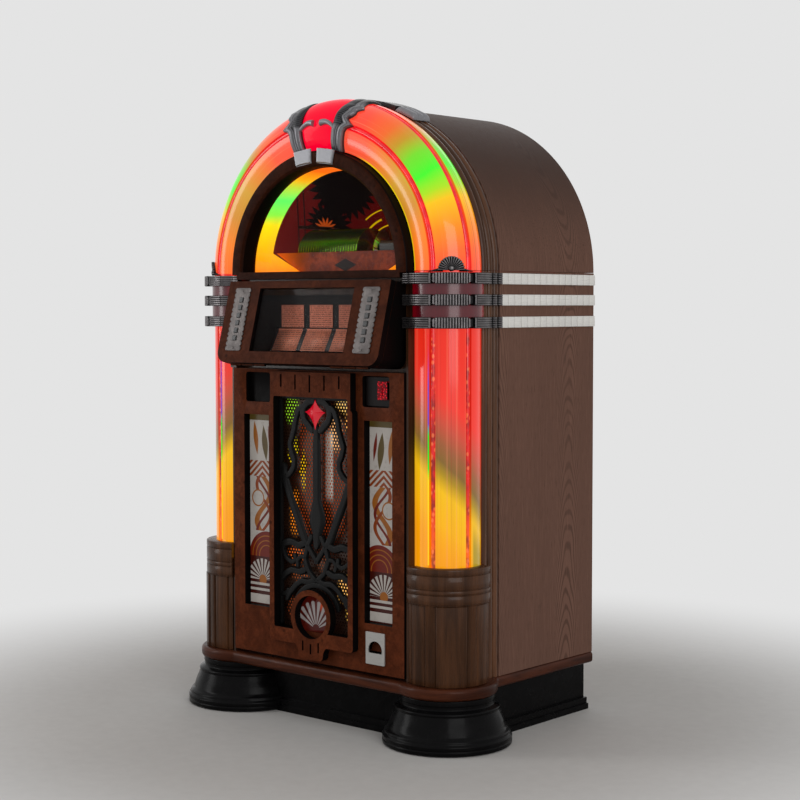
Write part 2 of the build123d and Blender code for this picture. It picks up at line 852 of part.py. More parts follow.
with BuildPart() as lower_door_panel:
    with BuildSketch(front(door_back_depth)):
        with Locations((0, (door_bottom_z + door_top_z) / 2)):
            Rectangle(2 * door_half, door_top_z - door_bottom_z)
        with Locations((0, (grille_bottom_z + grille_top_z) / 2)):
            Rectangle(2 * (grille_half + grille_margin),
                      grille_top_z - grille_bottom_z + 2 * grille_margin, mode=Mode.SUBTRACT)
        for hand in (-1, 1):
            with Locations((hand * (art_inner_x + art_outer_x) / 2, (art_bottom_z + art_top_z) / 2)):
                Rectangle(art_outer_x - art_inner_x, art_top_z - art_bottom_z, mode=Mode.SUBTRACT)
        with Locations((coin_x, (coin_mouth_bottom_z + coin_mouth_top_z) / 2)):
            Rectangle(2 * (coin_mouth_half + coin_side_room),
                      coin_mouth_top_z - coin_mouth_bottom_z + 2 * coin_side_room, mode=Mode.SUBTRACT)
    extrude(amount=door_depth - door_back_depth)
    with BuildSketch(front(door_depth)):
        for hand in (-1, 1):
            with Locations((hand * pocket_x, pocket_z)):
                RectangleRounded(pocket_width, pocket_height, pocket_corner)
    extrude(amount=-pocket_depth, mode=Mode.SUBTRACT)
    for edge_z, inward in ((door_bottom_z, 1), (door_top_z, -1)):
        with BuildSketch(plan(edge_z)):
            with Locations((-pivot_x, y_at(pivot_depth))):
                Circle(pivot_radius + running_gap)
        extrude(amount=inward * (pivot_reach + body_gap), mode=Mode.SUBTRACT)
    with BuildSketch(side(coin_x - coin_mouth_half - coin_side_room - flap_pin_reach)):
        with Locations((y_at(flap_depth), flap_axis_z)):
            Circle(flap_pin_radius + running_gap)
    extrude(amount=2 * (coin_mouth_half + coin_side_room + flap_pin_reach), mode=Mode.SUBTRACT)
finish(lower_door_panel.part, "lower_door_panel")

# Raised frame round the grille, with the medallion ring in its foot
raise_depth = door_depth + 20
frame_half = 140
frame_head_half = 134
frame_head_z = 782
frame_top_z = 869
frame_bottom_z = 201
tongue_bottom_z = 167
tongue_half = 42
tongue_round = 14
shoulder_z = frame_bottom_z + 4
shoulder_half = tongue_half + shoulder_z - tongue_bottom_z - tongue_round
ring_centre_z = 271
ring_outer = 67
ring_inner = 53
frame_overlap = 20
frame_corner = 10
grille_corner = 5
head_slot_pitch = 48.6
head_slot_width = 5
head_slot_top_z = 862
head_slot_length = 42
head_slot_step = 5.5
foot_slot_pitch = 26
foot_slot = (5, 25)
foot_slot_z = 199
foot_slot_step = 6

with BuildPart() as grille_frame:
    with BuildSketch(front(door_depth + seat_gap)) as frame_face:
        with Locations((0, (frame_bottom_z + frame_head_z) / 2)):
            RectangleRounded(2 * frame_half, frame_head_z - frame_bottom_z, frame_corner)
        with Locations((0, (frame_head_z - frame_overlap + frame_top_z) / 2)):
            Rectangle(2 * frame_head_half, frame_top_z - frame_head_z + frame_overlap)
        with BuildLine():
            tongue_flat = tongue_half - tongue_round
            tongue_side_z = tongue_bottom_z + tongue_round
            tongue_low = Line((-tongue_flat, tongue_bottom_z), (tongue_flat, tongue_bottom_z))
            right_low = TangentArc(tongue_low @ 1, (tongue_half, tongue_side_z), tangent=(1, 0))
            right_high = TangentArc(right_low @ 1, (shoulder_half, shoulder_z), tangent=(0, 1))
            left_low = TangentArc(tongue_low @ 0, (-tongue_half, tongue_side_z), tangent=(-1, 0))
            left_high = TangentArc(left_low @ 1, (-shoulder_half, shoulder_z), tangent=(0, 1))
            Line(right_high @ 1, left_high @ 1)
        make_face()
        with Locations((0, (grille_bottom_z + grille_top_z) / 2)):
            RectangleRounded(2 * grille_half, grille_top_z - grille_bottom_z, grille_corner,
                             mode=Mode.SUBTRACT)
        with Locations((0, ring_centre_z)):
            Circle(ring_outer)
            Circle(ring_inner, mode=Mode.SUBTRACT)
        for column in range(-2, 3):
            slot_length = head_slot_length - head_slot_step * abs(column)
            with Locations((column * head_slot_pitch, head_slot_top_z - slot_length / 2)):
                Rectangle(head_slot_width, slot_length, mode=Mode.SUBTRACT)
        for column in range(-1, 2):
            slot_z = foot_slot_z - foot_slot_step * (1 - abs(column))
            with Locations((column * foot_slot_pitch, slot_z)):
                Rectangle(*foot_slot, mode=Mode.SUBTRACT)
    extrude(amount=raise_depth - door_depth - seat_gap)
finish(grille_frame.part, "grille_frame")

# Gilt mesh on the door's back, and the scrolled casting in front of it.
mesh_thickness = 2
mesh_margin = 12

with BuildPart() as grille_mesh:
    with BuildSketch(front(door_back_depth - seat_gap - mesh_thickness)):
        with Locations((0, (grille_bottom_z + grille_top_z) / 2)):
            Rectangle(2 * (grille_half + mesh_margin), grille_top_z - grille_bottom_z + 2 * mesh_margin)
    extrude(amount=mesh_thickness)
finish(grille_mesh.part, "grille_mesh")

# Its places are (x, z) pairs of the right half, mirrored to the left.
scroll_thickness = 7
scroll_margin = 0.5
collar_grow = 9
stem_right = ((9, 735), (9, 560), (19, 505), (9, 440))
loop_x = 50
loop_lift = 78
loop_radii = (36, 165)
loop_wall = (11, 12)
loop_lean = 4
arm_outer_z = 640
arm_inner_z = 600
arm_outer = ((96, 540), (26, 425))
arm_inner = ((84, 505), (14, 405))
curl_place = (64, 392)
curl_radii = (44, 29)
curl_bar_x = 104
curl_bar = (374, 18)
ear_size = (20, 30)
ear_z = 796
crest_z = 810
crest = ((70, 795), (38, 760))
crest_under_z = 790
crest_under = ((78, 776), (44, 745))
leaf_heart_z = 432
leaf_heart = (20, 44)
foot_bar_z = 372
foot_bar = (60, 16)
jewel_z = 771
jewel_half = 40
jewel_up = 31
jewel_down = 43
jewel_thickness = 9
jewel_boss = -8
star_waist = 0.36
star_rise = 0.42


def jewel_outline(grow):
    """Four-pointed star with hollow sides."""
    reach = jewel_half + grow
    top = (0, jewel_z + jewel_up + grow)
    bottom = (0, jewel_z - jewel_down - grow)
    with BuildSketch() as star:
        with BuildLine():
            for hand in (-1, 1):
                tip = (hand * reach, jewel_z)
                ThreePointArc(top, (hand * reach * star_waist, jewel_z + jewel_up * star_rise), tip)
                ThreePointArc(tip, (hand * reach * star_waist, jewel_z - jewel_down * star_waist), bottom)
        make_face()
    return star.sketch


with BuildPart() as grille_ornament:
    scroll_half = grille_half + grille_margin - scroll_margin
    with BuildSketch(front(door_depth - seat_gap - scroll_thickness)):
        add(jewel_outline(collar_grow))
        with BuildLine():
            Polyline(*stem_right, *[(-x, z) for x, z in reversed(stem_right)], close=True)
        make_face()
        for hand in (-1, 1):
            loop_z = (grille_bottom_z + grille_top_z) / 2 + loop_lift
            with Locations((hand * loop_x, loop_z)):
                Ellipse(*loop_radii, rotation=hand * loop_lean)
                Ellipse(loop_radii[0] - loop_wall[0], loop_radii[1] - loop_wall[1],
                        rotation=hand * loop_lean, mode=Mode.SUBTRACT)
            for upper_z, upper, lower_z, lower in (
                (arm_outer_z, arm_outer, arm_inner_z, arm_inner),
                (crest_z, crest, crest_under_z, crest_under),
            ):
                with BuildLine():
                    above = ThreePointArc((hand * scroll_half, upper_z), *[(hand * x, z) for x, z in upper])
                    below = ThreePointArc((hand * scroll_half, lower_z), *[(hand * x, z) for x, z in lower])
                    Line(above @ 0, below @ 0)
                    Line(above @ 1, below @ 1)
                make_face()
            with Locations((hand * curl_place[0], curl_place[1])):
                Circle(curl_radii[0])
                Circle(curl_radii[1], mode=Mode.SUBTRACT)
            with Locations((hand * curl_bar_x, curl_bar[0])):
                Rectangle(2 * (scroll_half - curl_bar_x), curl_bar[1])
            with Locations((hand * (scroll_half - ear_size[0] / 2), ear_z)):
                Rectangle(*ear_size)
        with Locations((0, leaf_heart_z)):
            Ellipse(*leaf_heart)
        with Locations((0, foot_bar_z)):
            Rectangle(*foot_bar)
    extrude(amount=scroll_thickness)
finish(grille_ornament.part, "grille_ornament")

with BuildPart() as grille_jewel:
    with BuildSketch(front(door_depth)):
        add(jewel_outline(0))
    extrude(amount=jewel_thickness)
    with BuildSketch(front(door_depth - seat_gap)):
        add(jewel_outline(jewel_boss))
    extrude(amount=seat_gap)
finish(grille_jewel.part, "grille_jewel")

# Glass panels of the door: two tall ones and the round one in the ring
art_margin = 6
pane_thickness = 4

with BuildPart() as art_glasses:
    with BuildSketch(front(door_back_depth - seat_gap - pane_thickness)):
        for hand in (-1, 1):
            with Locations((hand * (art_inner_x + art_outer_x) / 2, (art_bottom_z + art_top_z) / 2)):
                Rectangle(art_outer_x - art_inner_x + 2 * art_margin,
                          art_top_z - art_bottom_z + 2 * art_margin)
    extrude(amount=pane_thickness)
    with BuildSketch(front(door_depth - seat_gap - pane_thickness)):
        with Locations((0, ring_centre_z)):
            Circle(ring_inner + art_margin)
        with Locations((0, (grille_bottom_z - grille_margin + ring_centre_z + ring_outer) / 2 + 0.5)):
            Rectangle(4 * ring_outer, ring_centre_z + ring_outer - grille_bottom_z + grille_margin,
                      mode=Mode.INTERSECT)
    extrude(amount=pane_thickness)
finish(art_glasses.part, "art_glasses")

# Coin return plate with its flap, and the lit coin entry in the right-hand pocket
with BuildPart() as coin_return_plate:
    with BuildSketch(front(door_depth + seat_gap)):
        with Locations((coin_x, (coin_plate_bottom_z + coin_plate_top_z) / 2)):
            RectangleRounded(2 * coin_plate_half, coin_plate_top_z - coin_plate_bottom_z, coin_plate_corner)
        add(coin_mouth(0), mode=Mode.SUBTRACT)
    extrude(amount=coin_plate_thickness)
finish(coin_return_plate.part, "coin_return_plate")

with BuildPart() as coin_return_flap:
    with BuildSketch(front(flap_depth - flap_thickness / 2)):
        add(coin_mouth(-body_gap))
        with Locations((coin_x, flap_axis_z + flap_height)):
            Rectangle(3 * coin_mouth_half, 2 * flap_height, mode=Mode.INTERSECT)
    extrude(amount=flap_thickness)
    pin_half = coin_mouth_half + coin_side_room + flap_pin_reach - seat_gap
    with BuildSketch(side(coin_x - pin_half)):
        with Locations((y_at(flap_depth), flap_axis_z)):
            Circle(flap_pin_radius)
    extrude(amount=2 * pin_half)
finish(coin_return_flap.part, "coin_return_flap")

entry_margin = 3
entry_corner = 5
entry_plate = 4
entry_button_depth = 6
button_corner = 3
coin_slot = (3.4, 30)
entry_button = (31, 44)
entry_button_x = 214
entry_button_z = 830

with BuildPart() as coin_entry:
    with BuildSketch(front(door_depth - pocket_depth + seat_gap)):
        with Locations((pocket_x, pocket_z)):
            RectangleRounded(pocket_width - 2 * entry_margin, pocket_height - 2 * entry_margin, entry_corner)
    extrude(amount=entry_plate)
    with BuildSketch(front(door_depth - pocket_depth + entry_plate)):
        with Locations((entry_button_x, entry_button_z)):
            RectangleRounded(*entry_button, button_corner)
    extrude(amount=entry_button_depth)
    with BuildSketch(front(door_depth)):
        with Locations((entry_button_x, entry_button_z)):
            Rectangle(*coin_slot)
    extrude(amount=-pocket_depth + 2, mode=Mode.SUBTRACT)
finish(coin_entry.part, "coin_entry")

# Dome: the veneered shell, the reeded arch, the lit plastic and its tubes
with BuildPart() as lid_shell:
    with BuildSketch(plan(arch_centre_z)):
        with Locations((cabinet_half - shell_thickness / 2, y_at(seam_depth / 2))):
            Rectangle(shell_thickness, seam_depth - 2 * seat_gap)
    revolve(axis=arch_axis, revolution_arc=180)
finish(lid_shell.part, "lid_shell")

with BuildPart() as lid_moulding:
    with BuildSketch(plan(arch_centre_z)):
        add(moulding_section())
    revolve(axis=arch_axis, revolution_arc=180)
finish(lid_moulding.part, "lid_moulding")

with BuildPart() as arch_plastic:
    with BuildSketch(plan(arch_centre_z)):
        add(plastic_section())
    revolve(axis=arch_axis, revolution_arc=180)
finish(arch_plastic.part, "arch_plastic")

with BuildPart() as arch_tubes:
    with BuildSketch(plan(arch_centre_z)):
        add(tube_section())
    revolve(axis=arch_axis, revolution_arc=180)
finish(arch_tubes.part, "arch_tubes")

# Window frame with its sill bar and the flange that carries the plastic
window_radius = 255
window_bevel = 6
frame_radius = 292
frame_edge_round = 7
frame_back_depth = 545
flange_radius = 306
flange_thickness = 6
frame_foot_z = band_centres_z[0] + band_height / 2 + body_gap
frame_bar_half = band_inner_x - 2


def arched(radius, bottom_z):
    """Half disc on the arch's axis, carried straight down to a height."""
    with BuildSketch() as outline:
        with Locations((0, arch_centre_z)):
            Circle(radius)
        with Locations((0, bottom_z + radius)):
            Rectangle(2 * radius, 2 * radius, mode=Mode.INTERSECT)
        with Locations((0, (arch_centre_z + bottom_z) / 2)):
            Rectangle(2 * radius, max(arch_centre_z - bottom_z, 1))
    return outline.sketch


with BuildPart() as window_frame:
    with BuildSketch(front(frame_back_depth)):
        add(arched(frame_radius, frame_foot_z))
        with Locations((0, (frame_bar_z + window_sill_z) / 2)):
            Rectangle(2 * frame_bar_half, window_sill_z - frame_bar_z)
    extrude(amount=door_depth - frame_back_depth)
    fillet(window_frame.faces().sort_by(Axis.Y)[0].edges().filter_by(GeomType.CIRCLE), frame_edge_round)
    with BuildSketch(front(frame_back_depth)):
        with Locations((0, arch_centre_z)):
            Circle(flange_radius)
            Circle(frame_radius - 5, mode=Mode.SUBTRACT)
        with Locations((0, arch_centre_z + flange_radius / 2)):
            Rectangle(2 * flange_radius, flange_radius, mode=Mode.INTERSECT)
    extrude(amount=flange_thickness)
    with BuildSketch(front(frame_back_depth)) as window_hole:
        with Locations((0, arch_centre_z)):
            Circle(window_radius)
        with Locations((0, window_sill_z + window_radius)):
            Rectangle(2 * window_radius, 2 * window_radius, mode=Mode.INTERSECT)
    extrude(amount=door_depth - frame_back_depth, mode=Mode.SUBTRACT)
    window_edge = window_frame.faces().sort_by(Axis.Y)[0].edges().filter_by(GeomType.CIRCLE)
    chamfer(window_edge.sort_by(SortBy.RADIUS)[0], window_bevel)
finish(window_frame.part, "window_frame")

pane_radius = 272
pane_bottom_z = frame_bar_z + 3

with BuildPart() as window_glass:
    with BuildSketch(front(frame_back_depth - seat_gap - pane_thickness)):
        add(arched(pane_radius, pane_bottom_z))
    extrude(amount=pane_thickness)
finish(window_glass.part, "window_glass")

# Glowing liner behind the window, with gussets at its feet
liner_radius = 250
liner_thickness = 4
liner_run = 55.4
liner_front_depth = frame_back_depth - pane_thickness - 2 * seat_gap
liner_back_depth = liner_front_depth - liner_run
fascia_top_z = 1163
fascia_top_half = 240
fascia_foot_half = 126
gusset_thickness = 3

with BuildPart() as arch_liner:
    with BuildSketch(front(liner_back_depth)):
        with Locations((0, arch_centre_z)):
            Circle(liner_radius + liner_thickness)
            Circle(liner_radius, mode=Mode.SUBTRACT)
        with Locations((0, arch_centre_z + liner_radius)):
            Rectangle(3 * liner_radius, 2 * liner_radius, mode=Mode.INTERSECT)
    extrude(amount=liner_front_depth - liner_back_depth)
    with BuildSketch(front(liner_back_depth)):
        for hand in (-1, 1):
            with BuildLine():
                Polyline(
                    (hand * (liner_radius + 2), arch_centre_z),
                    (hand * (fascia_foot_half + 14), arch_centre_z),
                    (hand * (fascia_top_half + 5), fascia_top_z),
                    close=True,
                )
            make_face()
    extrude(amount=gusset_thickness)
finish(arch_liner.part, "arch_liner")

with BuildPart() as lid_back_panel:
    with BuildSketch(front(back_thickness)):
        with Locations((0, arch_centre_z)):
            Circle(cabinet_half - shell_thickness - seat_gap)
        with Locations((0, arch_centre_z + cabinet_half)):
            Rectangle(2 * cabinet_half, 2 * cabinet_half, mode=Mode.INTERSECT)
        add(vents(arch_centre_z + lid_vent_lift), mode=Mode.SUBTRACT)
    extrude(amount=-back_thickness)
    for x in (-hinge_x, hinge_x):
        for hand in (-1, 1):
            knuckle_x = x + hand * knuckle_length
            with BuildSketch(side(knuckle_x - knuckle_length / 2 + 0.5)):
                with Locations((hinge_axis_y, hinge_axis_z)):
                    Circle(hinge_barrel_radius)
                with Locations((rear_y + hinge_leaf / 2, hinge_axis_z + hinge_leaf_height / 2)):
                    Rectangle(hinge_leaf, hinge_leaf_height)
                with Locations((hinge_axis_y, hinge_axis_z)):
                    Circle(hinge_pin_radius + running_gap, mode=Mode.SUBTRACT)
            extrude(amount=knuckle_length - 1)
finish(lid_back_panel.part, "lid_back_panel")

# Crown: two fluted castings that climb from the window frame over the plastic,
# a raised lens between them, a dark cap over the reeded arch and a clamp at each end of it
crown_start = -35
crown_shoulder = 45
crown_end = 118
crown_front_grow = 15
crown_top_grow = 7.3
lens_grow = 5
lens_end = 100
lens_margin = 0.3
crown_inner = 8.8
crown_outer = 15.5
crown_tip = 18.5
tip_turns = (12, 24)
scroll_turns = (7, 17)
scroll_reach = 1.2
cap_half = 19.5
clamp_end = 28.5
cap_radius = cabinet_half + 14.5
clamp_radius = cabinet_half + 17
block_radii = (262, 297)
block_angles = (1.7, 13)
block_front_depth = door_depth + 4.5


def over_arch(section, from_top, to_top):
    """Sweep a section round the arch's axis between two angles from its top."""
    with BuildPart() as swept:
        with BuildSketch(arch_plane(90 - from_top)):
            add(section)
        revolve(axis=arch_axis, revolution_arc=from_top - to_top)
    return swept.part


def strip(inner_radius, outer_radius, back_depth, front_depth):
    """Rectangle of radii and depths, for a piece that follows the arch."""
    with BuildSketch() as section:
        with Locations(((inner_radius + outer_radius) / 2, y_at((back_depth + front_depth) / 2))):
            Rectangle(outer_radius - inner_radius, front_depth - back_depth)
    return section.sketch


with BuildPart() as crown_castings:
    for start, end, grow, outer, inner in (
        (crown_start, crown_shoulder, crown_front_grow, crown_outer, crown_inner),
        (crown_shoulder, crown_end, crown_top_grow, crown_outer, crown_inner),
        (*tip_turns, crown_front_grow, crown_tip, crown_outer - 0.5),
    ):
        add(over_arch(envelope_band(start, end, grow), outer, inner))
    scroll = envelope_band(*scroll_turns, crown_front_grow, lens_grow + seat_gap)
    add(over_arch(scroll, crown_inner + 0.5, scroll_reach))
    block = strip(*block_radii, door_depth + seat_gap, block_front_depth)
    add(over_arch(block, block_angles[1], block_angles[0]))
    clamp = strip(moulding_top, clamp_radius, seam_depth, plastic_back_depth)
    add(over_arch(clamp, clamp_end, cap_half + 0.2))
    mirror(about=Plane.YZ)
finish(crown_castings.part, "crown_castings")

with BuildPart() as crown_lens:
    lens_half = crown_inner - lens_margin
    add(over_arch(envelope_band(crown_start, lens_end, lens_grow), lens_half, -lens_half))
finish(crown_lens.part, "crown_lens")

with BuildPart() as crown_cap:
    cap = strip(moulding_top, cap_radius, seam_depth, plastic_back_depth - seat_gap)
    add(over_arch(cap, cap_half, -cap_half))
finish(crown_cap.part, "crown_cap")

# Fan ornaments over the uppermost band, bent round the corners of the dome
fan_angle = 46
fan_turns = (1, 91)
fan_radius = 24
fan_thickness = 9
fan_wing = 62
fan_foot_z = band_centres_z[0] + band_height / 2 + body_gap
fan_top = 42

with BuildPart() as shell_ornaments:
    with BuildSketch(plan(fan_foot_z)):
        add(envelope_band(*fan_turns, fan_thickness))
    extrude(amount=fan_top)
    fan_x, fan_y, fan_nx, fan_ny = envelope_point(fan_angle, 0)
    fan_plane = Plane(
        origin=(fan_x, fan_y, fan_foot_z),
        x_dir=(-fan_ny, fan_nx, 0),
        z_dir=(fan_nx, fan_ny, 0),
    )
    with BuildSketch(fan_plane):
        with Locations((0, fan_radius * 0.35)):
            Circle(fan_radius)
        with Locations((0, fan_radius)):
            Rectangle(2 * fan_radius + 2, 2 * fan_radius, mode=Mode.INTERSECT)
        with BuildLine():
            wing_left = Line((-fan_wing, 0), (-fan_radius, 16))
            wing_right = Line((fan_wing, 0), (fan_radius, 16))
            Line(wing_left @ 1, wing_right @ 1)
            Line(wing_left @ 0, wing_right @ 0)
        make_face()
    extrude(amount=2 * fan_wing, both=True, mode=Mode.INTERSECT)
    mirror(about=Plane.YZ)
finish(shell_ornaments.part, "shell_ornaments")

# Mechanism deck under the dome, with a fascia board at its front
deck_top_z = 1096
deck_thickness = 12
deck_depths = (14, 530)
fascia_thickness = 12
fascia_gap = 7
fascia_front_depth = liner_back_depth - fascia_gap

with BuildPart() as mech_deck:
    with BuildSketch(plan(deck_top_z - deck_thickness)):
        with Locations((0, y_at((deck_depths[0] + seam_depth) / 2))):
            Rectangle(2 * back_half, seam_depth - deck_depths[0])
        with Locations((0, y_at((deck_depths[1] + seam_depth) / 2 - 1))):
            Rectangle(2 * (inner_half - 2), deck_depths[1] - seam_depth + 2)
    extrude(amount=deck_thickness)
finish(mech_deck.part, "mech_deck")

with BuildPart() as fascia_board:
    fascia_foot_z = deck_top_z + seat_gap
    with BuildSketch(front(fascia_front_depth - fascia_thickness)):
        with BuildLine():
            Polyline(
                (-fascia_foot_half, fascia_foot_z), (fascia_foot_half, fascia_foot_z),
                (fascia_top_half, fascia_top_z), (-fascia_top_half, fascia_top_z),
                close=True,
            )
        make_face()
    extrude(amount=fascia_thickness)
finish(fascia_board.part, "fascia_board")

# Disc rack: a comb of slots, and the guide rods of the carriage
disc_radius = 60
disc_thickness = 1.2
disc_count = 24
disc_pitch = 8.6
disc_first_x = -193
disc_depth = 385
disc_z = 1163
rack_plate_top_z = 1101
comb_top_z = 1124
comb_offset = 36
comb_thickness = 9
comb_slot = disc_thickness + 0.8
rod_radius = 5
rod_depth = 290
rod_heights = (1122, 1162)
rod_left_x = -262
rod_right_x = 196
bracket_thickness = 6
disc_places = [disc_first_x + number * disc_pitch for number in range(disc_count)]

with BuildPart() as disc_rack:
    rack_foot_z = deck_top_z + seat_gap
    rack_left_x = rod_left_x
    rack_right_x = rod_right_x
    with BuildSketch(plan(rack_foot_z)):
        with Locations(((rack_left_x + rack_right_x) / 2, y_at(rod_depth))):
            Rectangle(rack_right_x - rack_left_x, 40)
        comb_left_x = disc_places[0] - 10
        comb_right_x = disc_places[-1] + 10
        with Locations(((comb_left_x + comb_right_x) / 2, y_at(disc_depth - 12))):
            Rectangle(comb_right_x - comb_left_x, 2 * comb_offset + 40)
    extrude(amount=rack_plate_top_z - rack_foot_z)
    with BuildSketch(plan(rack_plate_top_z)):
        for hand in (-1, 1):
            with Locations(((comb_left_x + comb_right_x) / 2, y_at(disc_depth + hand * comb_offset))):
                Rectangle(comb_right_x - comb_left_x, comb_thickness)
    extrude(amount=comb_top_z - rack_plate_top_z)
    for x in disc_places:
        with BuildSketch(side(x - comb_slot / 2)):
            with Locations((y_at(disc_depth), disc_z)):
                Circle(disc_radius + seat_gap)
        extrude(amount=comb_slot, mode=Mode.SUBTRACT)
    for x in (rod_left_x, rod_right_x - bracket_thickness):
        with BuildSketch(side(x)):
            bracket_height = rod_heights[1] + 12 - rack_foot_z
            with Locations((y_at(rod_depth), rack_foot_z + bracket_height / 2)):
                Rectangle(30, bracket_height)
        extrude(amount=bracket_thickness)
    with BuildSketch(side(rod_left_x)):
        with Locations(*[(y_at(rod_depth), z) for z in rod_heights]):
            Circle(rod_radius)
    extrude(amount=rod_right_x - rod_left_x)
finish(disc_rack.part, "disc_rack")

with BuildPart() as stored_discs:
    for x in disc_places:
        with BuildSketch(side(x - disc_thickness / 2)):
            with Locations((y_at(disc_depth), disc_z)):
                Circle(disc_radius)
                Circle(7.5, mode=Mode.SUBTRACT)
        extrude(amount=disc_thickness)
finish(stored_discs.part, "stored_discs")

# Player beside the rack: a drive block with a spindle that turns the playing disc
player_disc_x = 62
player_left_x = 74
player_right_x = 140
player_depths = (335, 435)
player_top_z = 1190
spindle_radius = 4
hub_radius = 14

with BuildPart() as player_base:
    with BuildSketch(side(player_left_x)):
        with Locations((y_at(sum(player_depths) / 2), (deck_top_z + seat_gap + player_top_z) / 2)):
            RectangleRounded(player_depths[1] - player_depths[0], player_top_z - deck_top_z - seat_gap, 12)
    extrude(amount=player_right_x - player_left_x)
    with BuildSketch(side(player_left_x)):
        with Locations((y_at(disc_depth), disc_z)):
            Circle(spindle_radius + running_gap)
    extrude(amount=40, mode=Mode.SUBTRACT)
finish(player_base.part, "player_base")

with BuildPart() as playing_disc:
    with BuildSketch(side(player_disc_x)):
        with Locations((y_at(disc_depth), disc_z)):
            Circle(disc_radius)
    extrude(amount=disc_thickness)
    with BuildSketch(side(player_disc_x - 4)):
        with Locations((y_at(disc_depth), disc_z)):
            Circle(hub_radius)
    extrude(amount=player_left_x - 1 - player_disc_x + 4)
    with BuildSketch(side(player_left_x - 1)):
        with Locations((y_at(disc_depth), disc_z)):
            Circle(spindle_radius)
    extrude(amount=36)
finish(playing_disc.part, "playing_disc")

# Carriage on the rods, with a picking arm over the discs
carriage_left_x = -250
carriage_width = 44
carriage_top_z = 1232
arm_thickness = 8
arm_bottom_z = disc_z + disc_radius + 5
arm_front_depth = disc_depth + 16

with BuildPart() as carriage:
    with BuildSketch(side(carriage_left_x)):
        block_foot_z = rack_plate_top_z + 3
        with Locations((y_at(rod_depth), (block_foot_z + carriage_top_z) / 2)):
            Rectangle(28, carriage_top_z - block_foot_z)
        with Locations(*[(y_at(rod_depth), z) for z in rod_heights]):
            Circle(rod_radius + running_gap, mode=Mode.SUBTRACT)
    extrude(amount=carriage_width)
    with BuildSketch(plan(arm_bottom_z)):
        arm_x = carriage_left_x + carriage_width / 2
        with Locations((arm_x, y_at((rod_depth + arm_front_depth) / 2))):
            Rectangle(16, arm_front_depth - rod_depth)
    extrude(amount=arm_thickness)
finish(carriage.part, "carriage")
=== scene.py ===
"""Looks for a disc jukebox: veneered cabinet, lit plastics, metal trim, grille door and domed window."""

import json
import math

import bmesh
import bpy
import numpy as np
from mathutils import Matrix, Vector

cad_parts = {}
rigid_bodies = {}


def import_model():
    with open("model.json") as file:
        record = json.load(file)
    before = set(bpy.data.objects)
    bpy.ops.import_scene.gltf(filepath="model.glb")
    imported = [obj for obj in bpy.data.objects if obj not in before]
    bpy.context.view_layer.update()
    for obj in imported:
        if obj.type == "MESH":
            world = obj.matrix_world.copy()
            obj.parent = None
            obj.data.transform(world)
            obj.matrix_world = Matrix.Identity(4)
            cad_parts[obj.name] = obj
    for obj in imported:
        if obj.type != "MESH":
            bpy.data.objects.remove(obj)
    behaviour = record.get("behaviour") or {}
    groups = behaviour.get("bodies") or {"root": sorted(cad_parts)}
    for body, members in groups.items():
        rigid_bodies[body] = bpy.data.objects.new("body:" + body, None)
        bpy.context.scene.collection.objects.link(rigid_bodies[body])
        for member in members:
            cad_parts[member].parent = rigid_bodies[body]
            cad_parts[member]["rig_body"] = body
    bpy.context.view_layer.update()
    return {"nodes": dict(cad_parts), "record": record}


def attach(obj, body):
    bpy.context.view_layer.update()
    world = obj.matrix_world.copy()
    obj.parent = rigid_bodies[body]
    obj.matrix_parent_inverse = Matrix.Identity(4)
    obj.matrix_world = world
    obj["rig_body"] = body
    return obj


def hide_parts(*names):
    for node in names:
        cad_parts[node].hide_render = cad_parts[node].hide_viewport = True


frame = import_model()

bl_info = {
    "name": "Disc jukebox",
    "version": (1, 0, 0),
    "blender": (4, 5, 0),
    "location": "View3D > Sidebar > Jukebox",
    "description": "Dresses the packed solids of a domed disc jukebox with its finishes and fine parts",
    "category": "Object",
}

# Sizes of the solids that the pieces here sit on, in millimetres and radians. Reach is to the right of the middle,
# depth is forward of the back, and a turn on a column is 0 at the front and a right angle at the side.
MM = 0.001
QUARTER = math.pi / 2
SIDES = (1, -1)
REAR = 327.5  # the back face, behind the middle of the cabinet
SPRING = 1111.0  # height of the arch's axis
COLUMN_REACH, COLUMN_DEPTH, COLUMN_RADIUS = 337.0, 493.0, 80.0
COLUMN_FOOT, COLUMN_HEAD = 384.0, 1110.0
FLAT_REACH, FLAT_DEPTH = 295.0, 451.0
FLAT_OFF = COLUMN_REACH - FLAT_REACH
FRONT_TURN = -math.asin(FLAT_OFF / COLUMN_RADIUS)
SIDE_TURN = QUARTER - FRONT_TURN
ARCH_TURNS = np.linspace(-QUARTER, QUARTER, 145)
TUBE_TURNS = (math.radians(14), math.radians(78))
TUBE_SHARES = (0.298, 0.715)  # the tubes' places on a map that runs from the front flat to the side flat
TUBE_RADIUS, TUBE_SINK = 5.5, 6.2
SEAT = 0.3  # gap between the column's plastic and what is wrapped round it
PROUD = 0.4  # gap between the arch's plastic and a casting on it
CARD_PITCH = 0.097  # metres from one title card to the next
SPINDLE = (-0.0575, 1.163)  # the discs' axis, in metres back and up
MERGE = 2e-6  # points closer than this are one, in metres
SHADOW = (0.004, 0.003, 0.003, 1)


# ---- settings


